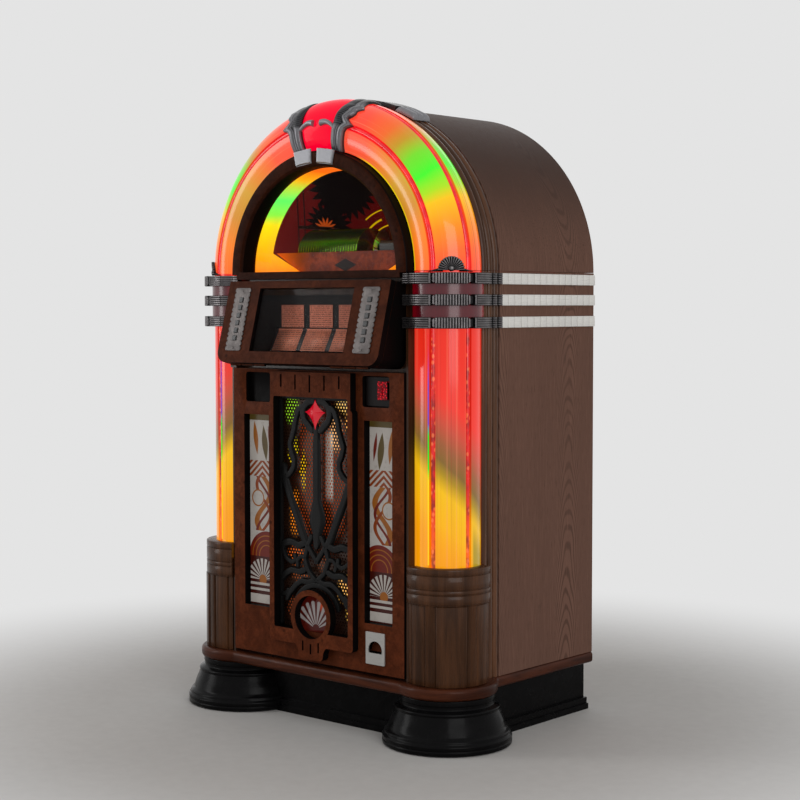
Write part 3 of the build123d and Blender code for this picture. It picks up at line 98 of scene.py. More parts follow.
class JukeboxSizes(bpy.types.PropertyGroup):
    """Sizes that a user may change before the pieces are made."""

    mesh_pitch: bpy.props.FloatProperty(
        name="Mesh pitch", description="Distance between the holes of the grille's mesh",
        default=0.0090, min=0.004, unit="LENGTH")
    fan_radius: bpy.props.FloatProperty(
        name="Fan radius", description="Radius of the scalloped fans over the belt bands",
        default=0.0235, min=0.01, unit="LENGTH")
    band_ribs: bpy.props.IntProperty(
        name="Band ribs", description="Upright ribs on the middle of each belt band", default=14, min=4)
    strip_links: bpy.props.IntProperty(
        name="Strip links", description="Pale plates in each strip along the cabinet's side",
        default=15, min=3)
    lamp_glow: bpy.props.FloatProperty(
        name="Lamp glow", description="Strength of the light from the coloured plastics",
        default=0.9, min=0.0)


class JukeboxColours(bpy.types.PropertyGroup):
    """Main colours of the finishes, as linear values."""

    walnut: bpy.props.FloatVectorProperty(
        name="Walnut", description="Ground colour of the side veneer",
        subtype="COLOR", default=(0.165, 0.086, 0.062), min=0, max=1)
    burl: bpy.props.FloatVectorProperty(
        name="Burl", description="Ground colour of the front's burl veneer",
        subtype="COLOR", default=(0.112, 0.027, 0.010), min=0, max=1)
    trim: bpy.props.FloatVectorProperty(
        name="Trim metal", description="Colour of the dark polished castings and bands",
        subtype="COLOR", default=(0.060, 0.055, 0.056), min=0, max=1)
    sleeve: bpy.props.FloatVectorProperty(
        name="Sleeve", description="Colour of the crimson sleeves between the bands",
        subtype="COLOR", default=(0.085, 0.001, 0.006), min=0, max=1)


def sizes():
    """The sizes as they stand in the scene."""
    return bpy.context.scene.jukebox_sizes


def colours():
    """The colours as they stand in the scene."""
    return bpy.context.scene.jukebox_colours


def paint(red, green, blue):
    """A colour given in screen values from 0 to 255, as the linear colour that a socket takes."""
    screen = np.array([red, green, blue]) / 255
    linear = np.where(screen <= 0.04045, screen / 12.92, ((screen + 0.055) / 1.055) ** 2.4)
    return (*linear.tolist(), 1.0)


# ---- places and shapes


def place(reach, depth, height):
    """Points in metres: reach is to the right of the middle, depth is forward of the back, both in mm."""
    reach, depth, height = np.broadcast_arrays(reach, depth, height)
    return np.stack([reach, REAR - depth, height], -1) * MM


def on_column(turn, grow=0.0):
    """Reach and depth on the column's round: turn is 0 at the front and a right angle at the side. The round stops
    at the flats where it meets the cabinet."""
    return (np.maximum(COLUMN_REACH + (COLUMN_RADIUS + grow) * np.sin(turn), FLAT_REACH),
            np.maximum(COLUMN_DEPTH + (COLUMN_RADIUS + grow) * np.cos(turn), FLAT_DEPTH))


def column_span(grow=0.0, count=61):
    """Turns from the front flat to the side flat on the round that stands out by grow."""
    swing = math.asin(FLAT_OFF / (COLUMN_RADIUS + grow))
    return np.linspace(-swing, QUARTER + swing, count)


def up_column(reach, depth, heights, side=1):
    """A section carried straight up: rows follow the heights, columns follow the section."""
    heights = np.asarray(heights, float)[:, None]
    return place(side * np.asarray(reach)[None, :], np.asarray(depth)[None, :], heights)


def about_arch(reach, depth, angle):
    """Points turned about the arch's axis: the angle is 0 at the crown and positive to the right."""
    return place(reach * np.sin(angle), depth, SPRING + reach * np.cos(angle))


def over_arch(reach, depth, angles):
    """A section carried over the arch: rows follow the angles, columns follow the section."""
    return about_arch(np.asarray(reach)[None, :], np.asarray(depth)[None, :], np.asarray(angles)[:, None])


def ring_outline(radius, count):
    """Points round a circle, first and last alike, as two arrays."""
    turn = np.linspace(0, 2 * math.pi, count + 1)
    return radius * np.cos(turn), radius * np.sin(turn)


def loop(*parts):
    """A closed section: its parts side by side, and the first point again."""
    axis = min(parts[0].ndim, 2) - 1
    return np.concatenate([*parts, parts[0].take([0], axis)], axis)


def half_round(share):
    """Height of a half round, whose share runs from -1 to 1 across it: the root of 1 less the share's square."""
    return np.sqrt(np.clip(1 - np.square(share), 0, 1))


def section_map(across, along):
    """A map whose first number runs across a section and whose second runs along its path."""
    along, across = np.meshgrid(along, across, indexing="ij")
    return np.stack([across, along], -1)


def quads(index):
    """The quads between the points of a grid, from the grid of their numbers."""
    return np.stack([index[:-1, :-1], index[1:, :-1], index[1:, 1:], index[:-1, 1:]], -1).reshape(-1, 4)


class Shape:
    """Grids of points that become one mesh."""

    def __init__(self):
        self.points, self.faces, self.uvs, self.tints = [], [], [], []
        self.count = 0

    def add(self, points, uv, faces, tint=0):
        """Adds points with their map and faces with their finish."""
        self.points.append(points)
        self.uvs.append(uv)
        self.faces += faces
        self.tints += [tint] * len(faces)
        self.count += len(points)

    def grid(self, points, uv=None, tint=0, ends=False):
        """Adds the quads of a grid of points. With ends, the first and last rows, each a closed loop, get a flat
        end."""
        rows, columns = points.shape[:2]
        index = self.count + np.arange(rows * columns).reshape(rows, columns)
        faces = quads(index).tolist()
        if ends:
            faces += [index[0, :-1].tolist(), index[-1, -2::-1].tolist()]
        if uv is None:
            uv = section_map(np.linspace(0, 1, columns), np.linspace(0, 1, rows))
        self.add(points.reshape(-1, 3), np.broadcast_to(uv, (rows, columns, 2)).reshape(-1, 2), faces, tint)

    def grid_of_holes(self, cell, centres):
        """Adds one copy of a cell's grid, given in mm as reach, depth and height, at each centre."""
        rows, columns = cell.shape[:2]
        flat = cell.reshape(-1, 3)
        spots = np.stack([centres[:, 0], 0 * centres[:, 0], centres[:, 1]], -1)
        points = (spots[:, None, :] + flat[None, :, :]).reshape(-1, 3)
        one = quads(np.arange(rows * columns).reshape(rows, columns))
        faces = self.count + np.arange(len(centres))[:, None, None] * len(flat) + one[None]
        self.add(place(*points.T), np.zeros((len(points), 2)), faces.reshape(-1, 4).tolist())

    def make(self, name, body, finishes, slot=None, replaces=(), crease=35):
        """The mesh object: doubles merged, normals outward, creases sharp, riding on its body."""
        mesh = bpy.data.meshes.new(name)
        mesh.from_pydata(np.concatenate(self.points).tolist(), [], self.faces)
        layer = mesh.uv_layers.new(name="wrap")
        corner = np.zeros(len(mesh.loops), np.int32)
        mesh.loops.foreach_get("vertex_index", corner)
        layer.data.foreach_set("uv", np.concatenate(self.uvs)[corner].astype(np.float32).ravel())
        mesh.polygons.foreach_set("material_index", np.array(self.tints, np.int32))
        for material in finishes if isinstance(finishes, list) else [finishes]:
            mesh.materials.append(material)
        tidy_mesh(mesh)
        smooth(mesh, crease)
        return dress(mesh, name, body, replaces)


def tidy_mesh(mesh, merge=MERGE):
    """Merges doubles, drops faces without area and turns the normals outward."""
    work = bmesh.new()
    work.from_mesh(mesh)
    bmesh.ops.remove_doubles(work, verts=work.verts, dist=merge)
    bmesh.ops.dissolve_degenerate(work, edges=work.edges, dist=merge)
    bmesh.ops.recalc_face_normals(work, faces=work.faces)
    work.to_mesh(mesh)
    work.free()


def smooth(mesh, crease):
    """Shades a mesh smooth, with edges sharper than the crease angle in degrees kept sharp."""
    mesh.polygons.foreach_set("use_smooth", np.ones(len(mesh.polygons), bool))
    mesh.set_sharp_from_angle(angle=math.radians(crease))
    mesh.update()


def put(name, data):
    """A new object in the scene."""
    made = bpy.data.objects.new(name, data)
    bpy.context.scene.collection.objects.link(made)
    return made


def dress(mesh, name, body, replaces):
    """Puts a mesh into the scene on its body and the nodes that it stands for."""
    piece = put(name, mesh)
    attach(piece, body)
    if replaces:
        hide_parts(*replaces)
    return piece


def smooth_copy(node, material, bevel=None, crease=30):
    """A merged copy of a solid that stands for it: smooth between its creases, with its edges rounded if a bevel is
    given.
    """
    source = frame["nodes"][node]
    mesh = source.data.copy()
    mesh.name = node + "_smooth"
    mesh.materials.clear()
    mesh.materials.append(material)
    mesh.polygons.foreach_set("material_index", np.zeros(len(mesh.polygons), np.int32))
    work = bmesh.new()
    work.from_mesh(mesh)
    bmesh.ops.remove_doubles(work, verts=work.verts, dist=MERGE)
    work.to_mesh(mesh)
    work.free()
    mesh.normals_split_custom_set([(0, 0, 0)] * len(mesh.loops))
    smooth(mesh, crease)
    slot = next(part["material_slot"] for part in frame["record"]["subparts"] if part["node"] == node)
    piece = dress(mesh, node + "_smooth", source["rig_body"], (node,))
    if bevel:
        rounding = piece.modifiers.new("rounding", "BEVEL")
        rounding.width = bevel * MM
        rounding.segments = 2
        rounding.limit_method = "ANGLE"
        rounding.angle_limit = math.radians(40)
        rounding.harden_normals = True


# ---- shader maths


class Value:
    """A socket in a node tree; arithmetic on it adds Math nodes."""

    def __init__(self, tree, socket):
        self.tree, self.socket = tree, socket

    def math(self, operation, *others):
        """This value through a Math node."""
        return self.tree.node("ShaderNodeMath", {"operation": operation}, dict(enumerate((self, *others))))

    def __add__(self, other):
        return self.math("ADD", other)

    def __sub__(self, other):
        return self.math("SUBTRACT", other)

    def __rsub__(self, other):
        return self.tree.node("ShaderNodeMath", {"operation": "SUBTRACT"}, {0: other, 1: self})

    def __mul__(self, other):
        return self.math("MULTIPLY", other)

    def __truediv__(self, other):
        return self.math("DIVIDE", other)

    def __rtruediv__(self, other):
        return self.tree.node("ShaderNodeMath", {"operation": "DIVIDE"}, {0: other, 1: self})

    def __pow__(self, other):
        return self.math("POWER", other)

    def __mod__(self, other):
        return self.math("FLOORED_MODULO", other)

    def __lt__(self, other):
        return self.math("LESS_THAN", other)

    def __gt__(self, other):
        return self.math("GREATER_THAN", other)

    def __abs__(self):
        return self.math("ABSOLUTE")

    __radd__ = __add__
    __rmul__ = __mul__


class Tree:
    """Nodes being added to the tree of a material or a world."""

    def __init__(self, owner):
        owner.use_nodes = True
        self.owner, self.tree = owner, owner.node_tree

    def node(self, kind, settings=None, inputs=None, output=0):
        """Adds a node: its settings first, then the values or links of its sockets. Gives one output."""
        made = self.tree.nodes.new(kind)
        for key, value in (settings or {}).items():
            if key == "stops":
                self.fill(made.color_ramp, value)
            else:
                setattr(made, key, value)
        for key, value in (inputs or {}).items():
            self.plug(made.inputs[key], value)
        return Value(self, made.outputs[output])

    def plug(self, socket, value):
        """Links a value to a socket, or sets the socket to a constant."""
        if isinstance(value, Value):
            self.tree.links.new(value.socket, socket)
        else:
            socket.default_value = value

    @staticmethod
    def fill(ramp, stops):
        """Puts stops into a colour ramp, each a place and three screen values."""
        while len(ramp.elements) < len(stops):
            ramp.elements.new(1.0)
        for element, (where, *screen) in zip(ramp.elements, stops):
            element.position, element.color = where, paint(*screen)

    def seen(self):
        """1 for rays straight from the eye, through glass and off gloss, else 0."""
        path = self.node("ShaderNodeLightPath").socket.node.outputs
        eye, glass, gloss = (Value(self, path[kind]) for kind in (
            "Is Camera Ray", "Is Transmission Ray", "Is Glossy Ray"))
        return eye.math("MAXIMUM", glass).math("MAXIMUM", gloss)

    def show(self, output, factor, first, second):
        """Two shaders mixed, as the surface of the tree's output node."""
        blend = self.node("ShaderNodeMixShader", {}, {0: factor, 1: first, 2: second})
        self.plug(self.tree.nodes[output].inputs["Surface"], blend)

    def split(self, vector):
        """A vector's three numbers."""
        parts = self.node("ShaderNodeSeparateXYZ", {}, {0: vector})
        return tuple(Value(self, out) for out in parts.socket.node.outputs)

    def join(self, first, second, third=0.0):
        """Three numbers as one vector."""
        return self.node("ShaderNodeCombineXYZ", {}, {0: first, 1: second, 2: third})

    def axes(self):
        """The object coordinates as three numbers in metres: right, back and up."""
        return self.split(self.node("ShaderNodeTexCoord", output="Object"))

    def spot(self, stretch=(1, 1, 1)):
        """Object coordinates, stretched."""
        coordinates = self.node("ShaderNodeTexCoord", output="Object")
        return self.node("ShaderNodeMapping", {}, {0: coordinates, 3: stretch})

    def wrap(self):
        """The piece's own map as two numbers."""
        return self.split(self.node("ShaderNodeUVMap", {"uv_map": "wrap"}))[:2]

    def facing(self):
        """The object-space normal as three numbers."""
        return self.split(self.node("ShaderNodeTexCoord", output="Normal"))

    def noise(self, where, scale, detail=4.0, rough=0.55, distortion=0.0):
        """Cloudy noise from 0 to 1."""
        return self.node("ShaderNodeTexNoise", {}, {
            "Vector": where, "Scale": scale, "Detail": detail, "Roughness": rough, "Distortion": distortion})

    def cells(self, where, scale, output=0):
        """Distance to the nearest of many scattered points, or another output, such as that point's colour."""
        return self.node("ShaderNodeTexVoronoi", {}, {"Vector": where, "Scale": scale}, output)

    def between(self, value, low, high, bottom=0.0, top=1.0):
        """The value taken from low..high to bottom..top, with a smooth start and end."""
        return self.node("ShaderNodeMapRange", {"interpolation_type": "SMOOTHSTEP"},
                         {0: value, 1: low, 2: high, 3: bottom, 4: top})

    def ramp(self, factor, stops):
        """A colour ramp, whose stops are each a place and three screen values."""
        return self.node("ShaderNodeValToRGB", {"stops": stops}, {0: factor})

    def mix(self, factor, first, second, blend="MIX"):
        """Two colours mixed."""
        return self.node("ShaderNodeMix", {"data_type": "RGBA", "blend_type": blend, "clamp_factor": True},
                         {0: factor, 6: first, 7: second}, 2)

    def over(self, tone, *layers):
        """A tone with colours laid over it in turn, each where its mask is 1."""
        for mask, colour in layers:
            tone = self.mix(mask, tone, colour)
        return tone

    def dark_edges(self, tone):
        """The tone on faces that look forward, and painted shade, a dark colour, on all others."""
        return self.mix(self.between(self.facing()[1], -0.80, -0.62), tone, SHADOW)

    def dark_back(self, tone):
        """The tone, but painted shade, a dark colour, on faces that look backward."""
        return self.mix(self.between(self.facing()[1], 0.5, 0.7), tone, SHADOW)

    def bump(self, height, distance):
        """A normal that leans by the slope of height, whose full range stands for the distance in metres."""
        return self.node("ShaderNodeBump", {}, {"Height": height, "Distance": distance})


class Finish(Tree):
    """A material being made."""

    def __init__(self, name, **constants):
        super().__init__(bpy.data.materials.new(name))
        self.shader = self.tree.nodes["Principled BSDF"]
        self.set(**constants)

    def set(self, **inputs):
        """Sets or links sockets of the shader, whose names are written with underscores. Gives the material."""
        for key, value in inputs.items():
            self.plug(self.shader.inputs[key.replace("_", " ")], value)
        return self.owner


def length(first, second):
    """Length of a flat vector: the root of the sum of its squares."""
    return (first * first + second * second) ** 0.5


def arch_turn(right, up):
    """Angle about the arch's axis, 0 at the crown and positive to the right."""
    return right.math("ARCTAN2", up - SPRING * MM)


def shade(colour, factor):
    """A colour made darker or lighter."""
    return (*[min(1.0, channel * factor) for channel in colour[:3]], 1.0)


MADE = {}


def finish(maker, *options):
    """The material of a maker function, made once."""
    key = (maker.__name__, *options)
    if key not in MADE:
        MADE[key] = maker(*options)
    return MADE[key]


# ---- wood finishes


def walnut_veneer(along="up"):
    """Side veneer: fine dark lines that nest as parabolas about upright axes, one to each leaf of veneer, with pores
    along the grain, and painted shade that darkens it where it turns up to the roof."""
    made = Finish("walnut_veneer_" + along, Specular_IOR_Level=0.06)
    right, back, up = made.axes()
    if along == "round":
        up = arch_turn(right, up) * 0.4
    leaf = 0.300
    drift = made.noise(made.spot((1.0, 1.0, 0.5)), 2.2, 2.0) - 0.5
    across = (back + 0.235 + drift * 0.035) % leaf - leaf / 2
    sway = made.noise(made.join(back * 5, up * 1.3, 3.7), 1.0, 3.0) - 0.5
    nest = across * across * 46.0 + up * 0.62 + sway * 0.34
    lines = (nest * 240.0).math("SINE") * 0.5 + 0.5
    fine = made.noise(made.join(back * 420, right * 60, up * 14), 1.0, 3.0)
    pores = made.noise(made.join(back * 900, right * 900, up * 26), 1.0, 2.0)
    cloud = made.noise(made.join(back * 7, right * 7, up * 1.6), 1.0, 4.0)
    ground = tuple(colours().walnut)
    figure = made.between(lines, 0.45, 1.0) * made.between(cloud, 0.25, 0.75, 0.35, 1.0)
    # painted shade: faces that turn up to the roof are darkened
    roof = made.between(made.facing()[2], 0.0, 0.8)
    tone = made.mix(cloud, shade(ground, 0.75), shade(ground, 1.45))
    tone = made.over(tone, (figure * 0.62, shade(ground, 0.34)),
                     (made.between(fine, 0.5, 0.75) * 0.35, shade(ground, 1.9)),
                     (made.between(pores, 0.60, 0.70) * 0.7, shade(ground, 0.22)), (roof * 0.78, shade(ground, 0.16)))
    return made.set(Base_Color=tone, Roughness=made.between(fine, 0.2, 0.8, 0.46, 0.60),
                    Normal=made.bump(pores * 0.6 + lines * 0.2, 0.00025))


def burl_veneer(depth=1.0, edged=True, recess=None):
    """Front veneer: reddish brown clouds with dark swirls and small eyes. Faces that don't look forward get painted
    shade, near black, and so does the floor of each recess, which lies behind the depth given for it."""
    made = Finish(f"burl_veneer_{int(depth * 100)}", Coat_Weight=0.005, Coat_Roughness=0.2,
                  Specular_IOR_Level=0.025)
    spot = made.spot()
    swirl = made.noise(spot, 9.0, 5.0, 0.6, 1.6)
    mottle = made.noise(spot, 60.0, 5.0, 0.65, 0.8)
    grain = made.noise(spot, 420.0, 3.0, 0.6)
    knots = made.between(made.cells(spot, 34.0), 0.06, 0.24, 1.0, 0.0) * made.between(swirl, 0.45, 0.65)
    ground = shade(tuple(colours().burl), depth)
    tone = made.mix(made.between(swirl, 0.3, 0.7), shade(ground, 0.68), shade(ground, 1.30))
    tone = made.over(tone, (made.between(mottle, 0.35, 0.70) * 0.65, shade(ground, 0.42)),
                     (made.between(grain, 0.55, 0.75) * 0.5, shade(ground, 1.75)), (knots * 0.8, shade(ground, 0.20)))
    if edged:
        # painted shade, near black, on faces that don't look forward
        tone = made.dark_edges(tone)
    if recess:
        # painted shade, near black, on the floor of each recess
        behind = made.between(made.axes()[1], (REAR - recess - 1) * MM, (REAR - recess + 1) * MM)
        tone = made.mix(behind, tone, (0.003, 0.002, 0.002, 1))
    return made.set(Base_Color=tone, Roughness=made.between(mottle, 0.2, 0.8, 0.34, 0.50),
                    Normal=made.bump(grain, 0.00012))


def turned_walnut(level, sheen, direction):
    """Gloss walnut for mouldings and covers: straight grain that runs up, or round the arch."""
    made = Finish(f"walnut_{direction}_{int(level * 100)}", Coat_Weight=sheen, Coat_Roughness=0.12,
                  Specular_IOR_Level=0.10)
    right, back, up = made.axes()
    if direction == "round":
        turn, out = arch_turn(right, up), length(right, up - SPRING * MM)
        spot = made.join(out * 34, back * 34, turn * 0.8)
        hairs = made.join(out * 480, back * 480, turn * 6.0)
    else:
        spot = made.join(right * 34, back * 34, up * 2.0)
        hairs = made.join(right * 480, back * 480, up * 16)
    bands = made.noise(spot, 1.0, 4.0, 0.6, 0.6)
    lines = made.noise(hairs, 1.0, 3.0, 0.6)
    ground = shade((0.088, 0.036, 0.016), level)
    tone = made.mix(made.between(bands, 0.3, 0.7), shade(ground, 0.58), shade(ground, 1.45))
    tone = made.mix(made.between(lines, 0.55, 0.72) * 0.7, tone, shade(ground, 0.30))
    return made.set(Base_Color=tone, Roughness=made.between(lines, 0.2, 0.8, 0.20, 0.34),
                    Normal=made.bump(lines, 0.00012))


def raw_board():
    """Unfinished particle board at the back: pressed flakes in pale and dark browns."""
    made = Finish("raw_board", Roughness=0.85)
    flakes = made.cells(made.spot((1, 1, 1.6)), 260.0, "Color")
    grey = made.node("ShaderNodeSeparateColor", {}, {0: flakes})
    clouds = made.noise(made.spot(), 14.0, 4.0)
    tone = made.ramp(grey * 0.7 + clouds * 0.3, [
        (0.15, 96, 72, 52), (0.5, 132, 104, 76), (0.85, 164, 134, 100)])
    return made.set(Base_Color=tone, Normal=made.bump(grey, 0.0003))


def black_lacquer():
    """Gloss black on turned wood: a faint haze, and the shallow dimples of thick lacquer."""
    made = Finish("black_lacquer", Coat_Weight=0.02, Coat_Roughness=0.10, Specular_IOR_Level=0.05)
    haze = made.noise(made.spot(), 24.0, 5.0)
    dimples = made.noise(made.spot(), 160.0, 2.0)
    tone = made.mix(haze, (0.002, 0.002, 0.0022, 1), (0.006, 0.0056, 0.006, 1))
    return made.set(Base_Color=tone, Roughness=made.between(haze, 0.3, 0.7, 0.16, 0.34),
                    Normal=made.bump(dimples, 0.00015))


def base_walnut():
    """Reddish gloss walnut of the base board: long cloudy grain along the board."""
    made = Finish("base_walnut", Coat_Weight=0.04, Coat_Roughness=0.15, Specular_IOR_Level=0.08)
    right, back, up = made.axes()
    bands = made.noise(made.join(right * 5, back * 5, up * 40), 1.0, 4.0, 0.6, 0.6)
    hairs = made.noise(made.join(right * 40, back * 40, up * 400), 1.0, 3.0)
    tone = made.mix(made.between(bands, 0.3, 0.7), (0.034, 0.008, 0.003, 1), (0.090, 0.024, 0.010, 1))
    tone = made.mix(made.between(hairs, 0.55, 0.72) * 0.5, tone, (0.018, 0.006, 0.003, 1))
    return made.set(Base_Color=tone, Roughness=made.between(hairs, 0.2, 0.8, 0.26, 0.40))


def fascia_burl():
    """Orange-brown burl board under the discs, with a dark diamond let into its middle. Its light from above is painted
    in: the board glows, brighter on the left.
    """
    made = Finish("fascia_burl", Roughness=0.4, Specular_IOR_Level=0.2)
    right, _, up = made.axes()
    swirl = made.noise(made.spot(), 14.0, 5.0, 0.6, 1.4)
    mottle = made.noise(made.spot(), 90.0, 4.0)
    tone = made.mix(made.between(swirl, 0.3, 0.7), paint(104, 34, 14), paint(156, 60, 22))
    # painted light: a bright orange patch on the board's left part
    tone = made.over(tone, (made.between(mottle, 0.40, 0.70) * 0.5, paint(64, 18, 8)),
                     (made.between(right, -0.10, -0.24) * 0.8, paint(240, 112, 20)))
    diamond = abs(right) * 0.42 + abs(up - 1.130)
    tone = made.mix(made.between(diamond, 0.0165, 0.0150), tone, paint(24, 10, 8))
    # painted light: the board glows as if lit from above
    return made.set(Base_Color=tone, Emission_Color=tone, Emission_Strength=0.25)


# ---- metal and plastic finishes


def trim_metal():
    """Ribbed casting metal: the map's first number is the height of the ribs, grey on the crests and black in the
    hollows, with faint scratches."""
    made = Finish("trim_metal", Metallic=0.7)
    crest, _ = made.wrap()
    cloud = made.noise(made.spot(), 40.0, 4.0)
    scratch = made.noise(made.spot((1, 1, 14)), 220.0, 2.0)
    ground = tuple(colours().trim)
    tone = made.mix(made.between(cloud, 0.3, 0.7), shade(ground, 1.5), shade(ground, 2.6))
    tone = made.mix(made.between(crest, 0.35, 0.95), (0.012, 0.012, 0.013, 1), tone)
    return made.set(Base_Color=tone, Roughness=made.between(scratch, 0.2, 0.8, 0.20, 0.36),
                    Normal=made.bump(scratch, 0.00004))


def brushed(name, metallic, stretch, cloud, dark, pale, rough, depth):
    """Brushed plate: fine lines of noise, which lie across the axis with the greatest stretch, over a cloudy wear
    between two tones. Each stretch is an axis and its factor."""
    made = Finish(name, Metallic=metallic)
    axes = made.axes()
    lines = made.noise(made.join(*(axes[which] * factor for which, factor in stretch)), 1.0, 2.0)
    return made.set(Base_Color=made.mix(made.noise(made.spot(), *cloud), dark, pale),
                    Roughness=made.between(lines, 0.3, 0.7, *rough), Normal=made.bump(lines, depth))


def pale_plate(level=1.0):
    """Pale satin metal plates, brushed along their length. A level under 1 gives a darker copy, as painted shade."""
    return brushed(f"pale_plate_{int(level * 100)}", 0.2, ((1, 30), (0, 30), (2, 1400)), (9.0, 3.0),
                   shade(paint(222, 220, 215), level), shade(paint(250, 248, 243), level), (0.26, 0.46), 0.00003)


def button_plate():
    """Matt grey selector plates, brushed down the plate."""
    return brushed("button_plate", 0.7, ((0, 1600), (1, 60), (2, 60)), (34.0, 4.0),
                   paint(72, 67, 66), paint(108, 102, 100), (0.36, 0.56), 0.00004)


def painted(name, haze, grain, dark, pale, rough, depth, **constants):
    """Paint or plastic: two dark tones cloud into each other, and a finer grain roughens and dents the surface."""
    made = Finish(name, **constants)
    fine = made.noise(made.spot(), *grain)
    return made.set(Base_Color=made.mix(made.noise(made.spot(), *haze), dark, pale),
                    Roughness=made.between(fine, 0.3, 0.7, *rough), Normal=made.bump(fine, depth))


def black_plastic(level=1.0):
    """Fine-textured black plastic with paler rubbed specks."""
    return painted(f"black_plastic_{int(level * 100)}", (18.0, 3.0), (900.0, 2.0),
                   shade((0.012, 0.012, 0.013), level), shade((0.030, 0.029, 0.030), level), (0.34, 0.50), 0.00006)


def black_metal():
    """Satin black paint on cast metal."""
    return painted("black_metal", (26.0, 4.0), (420.0, 3.0), (0.014, 0.014, 0.014, 1), (0.036, 0.035, 0.034, 1),
                   (0.28, 0.45), 0.00010, Metallic=0.3)


def ornament_black():
    """Satin black casting of the grille's ornament."""
    return painted("ornament_black", (26.0, 4.0), (300.0, 3.0), (0.003, 0.003, 0.0032, 1),
                   (0.007, 0.0068, 0.0066, 1), (0.36, 0.55), 0.00008, Specular_IOR_Level=0.12)


def casting_grey():
    """Plain grey casting metal of the crown's foot blocks and clamps."""
    made = Finish("casting_grey", Metallic=0.6)
    cloud = made.noise(made.spot(), 50.0, 4.0)
    return made.set(Base_Color=made.mix(cloud, paint(112, 112, 116), paint(150, 150, 154)),
                    Roughness=made.between(cloud, 0.2, 0.8, 0.30, 0.45))


def crown_metal():
    """Casting metal by its own map: the first number runs out across the casting and the second up along it. Grey
    leaf with thin dark veins; above the leaf's tip the inner half shows the casting's ribbed inner wall, its cross
    teeth near black in painted shade."""
    made = Finish("crown_metal", Metallic=0.5)
    across, along = made.wrap()
    cloud = made.noise(made.spot(), 60.0, 4.0)
    tone = made.mix(cloud, paint(94, 93, 97), paint(136, 135, 139))
    vein = made.between(abs(across * 5.0 % 1.0 - 0.5), 0.36, 0.48)
    tone = made.mix(vein * 0.8, tone, paint(26, 26, 28))
    # painted shade: the ribs of the casting's inner wall, near black as in shadow
    teeth = made.between(abs(along * 46.0 % 1.0 - 0.5), 0.20, 0.34)
    painted_shade_ribs = made.mix(teeth, paint(62, 62, 66), paint(8, 8, 9))
    above = made.between(along, 0.27, 0.30) * made.between(across, 0.52, 0.48)
    tone = made.over(tone, (above, painted_shade_ribs), (made.between(along, 0.60, 0.70), paint(20, 20, 22)))
    return made.set(Base_Color=tone, Roughness=made.between(cloud, 0.2, 0.8, 0.26, 0.42))


def mesh_brown():
    """Brown punched mesh, paler beside the stem where light falls on it."""
    made = Finish("mesh_brown", Metallic=0.4)
    right, _, up = made.axes()
    cloud = made.noise(made.spot(), 22.0, 3.0)
    tone = made.mix(cloud, paint(38, 22, 14), paint(72, 44, 26))
    silver = made.between(abs(right - 0.027), 0.016, 0.008) * made.between(abs(up - 0.645), 0.100, 0.070)
    tone = made.mix(silver, tone, paint(196, 188, 178))
    return made.set(Base_Color=tone, Roughness=made.between(cloud, 0.2, 0.8, 0.36, 0.52))


def disc_face():
    """A disc's play side: silver with rings of colour that turn about its middle, green and yellow at the edge."""
    made = Finish("disc_face", Metallic=0.9, Coat_Weight=0.5, Coat_Roughness=0.05)
    _, back, up = made.axes()
    back, up = back - SPINDLE[0], up - SPINDLE[1]
    out = length(back, up)
    fan = (back.math("ARCTAN2", up) * 3.0 + out * 60).math("SINE") * 0.5 + 0.5
    tone = made.ramp(fan, [
        (0.0, 120, 120, 132), (0.35, 150, 190, 150), (0.6, 210, 200, 130), (0.8, 160, 150, 190),
        (1.0, 120, 140, 160)])
    tone = made.over(tone, (made.between(out, 0.0195, 0.0185), paint(196, 196, 200)),
                     (made.between(out, 0.0585, 0.0597), paint(150, 200, 40)))
    return made.set(Base_Color=tone, Roughness=made.between(out, 0.02, 0.06, 0.18, 0.26))


# ---- lit finishes


def glow(made, tone, surface=0.45, strength=1.0):
    """A lit plastic's material: part of its tone is reflected, and the rest given out."""
    dimmed = made.mix(1.0, tone, (surface, surface, surface, 1), "MULTIPLY")
    return made.set(Base_Color=dimmed, Emission_Color=tone, Emission_Strength=strength * sizes().lamp_glow)


def groove(made, turn):
    """1 in the two channels of the plastic where its tubes lie, else 0."""
    first, second = (made.between(abs(turn - share), 0.044, 0.032) for share in TUBE_SHARES)
    return first + second


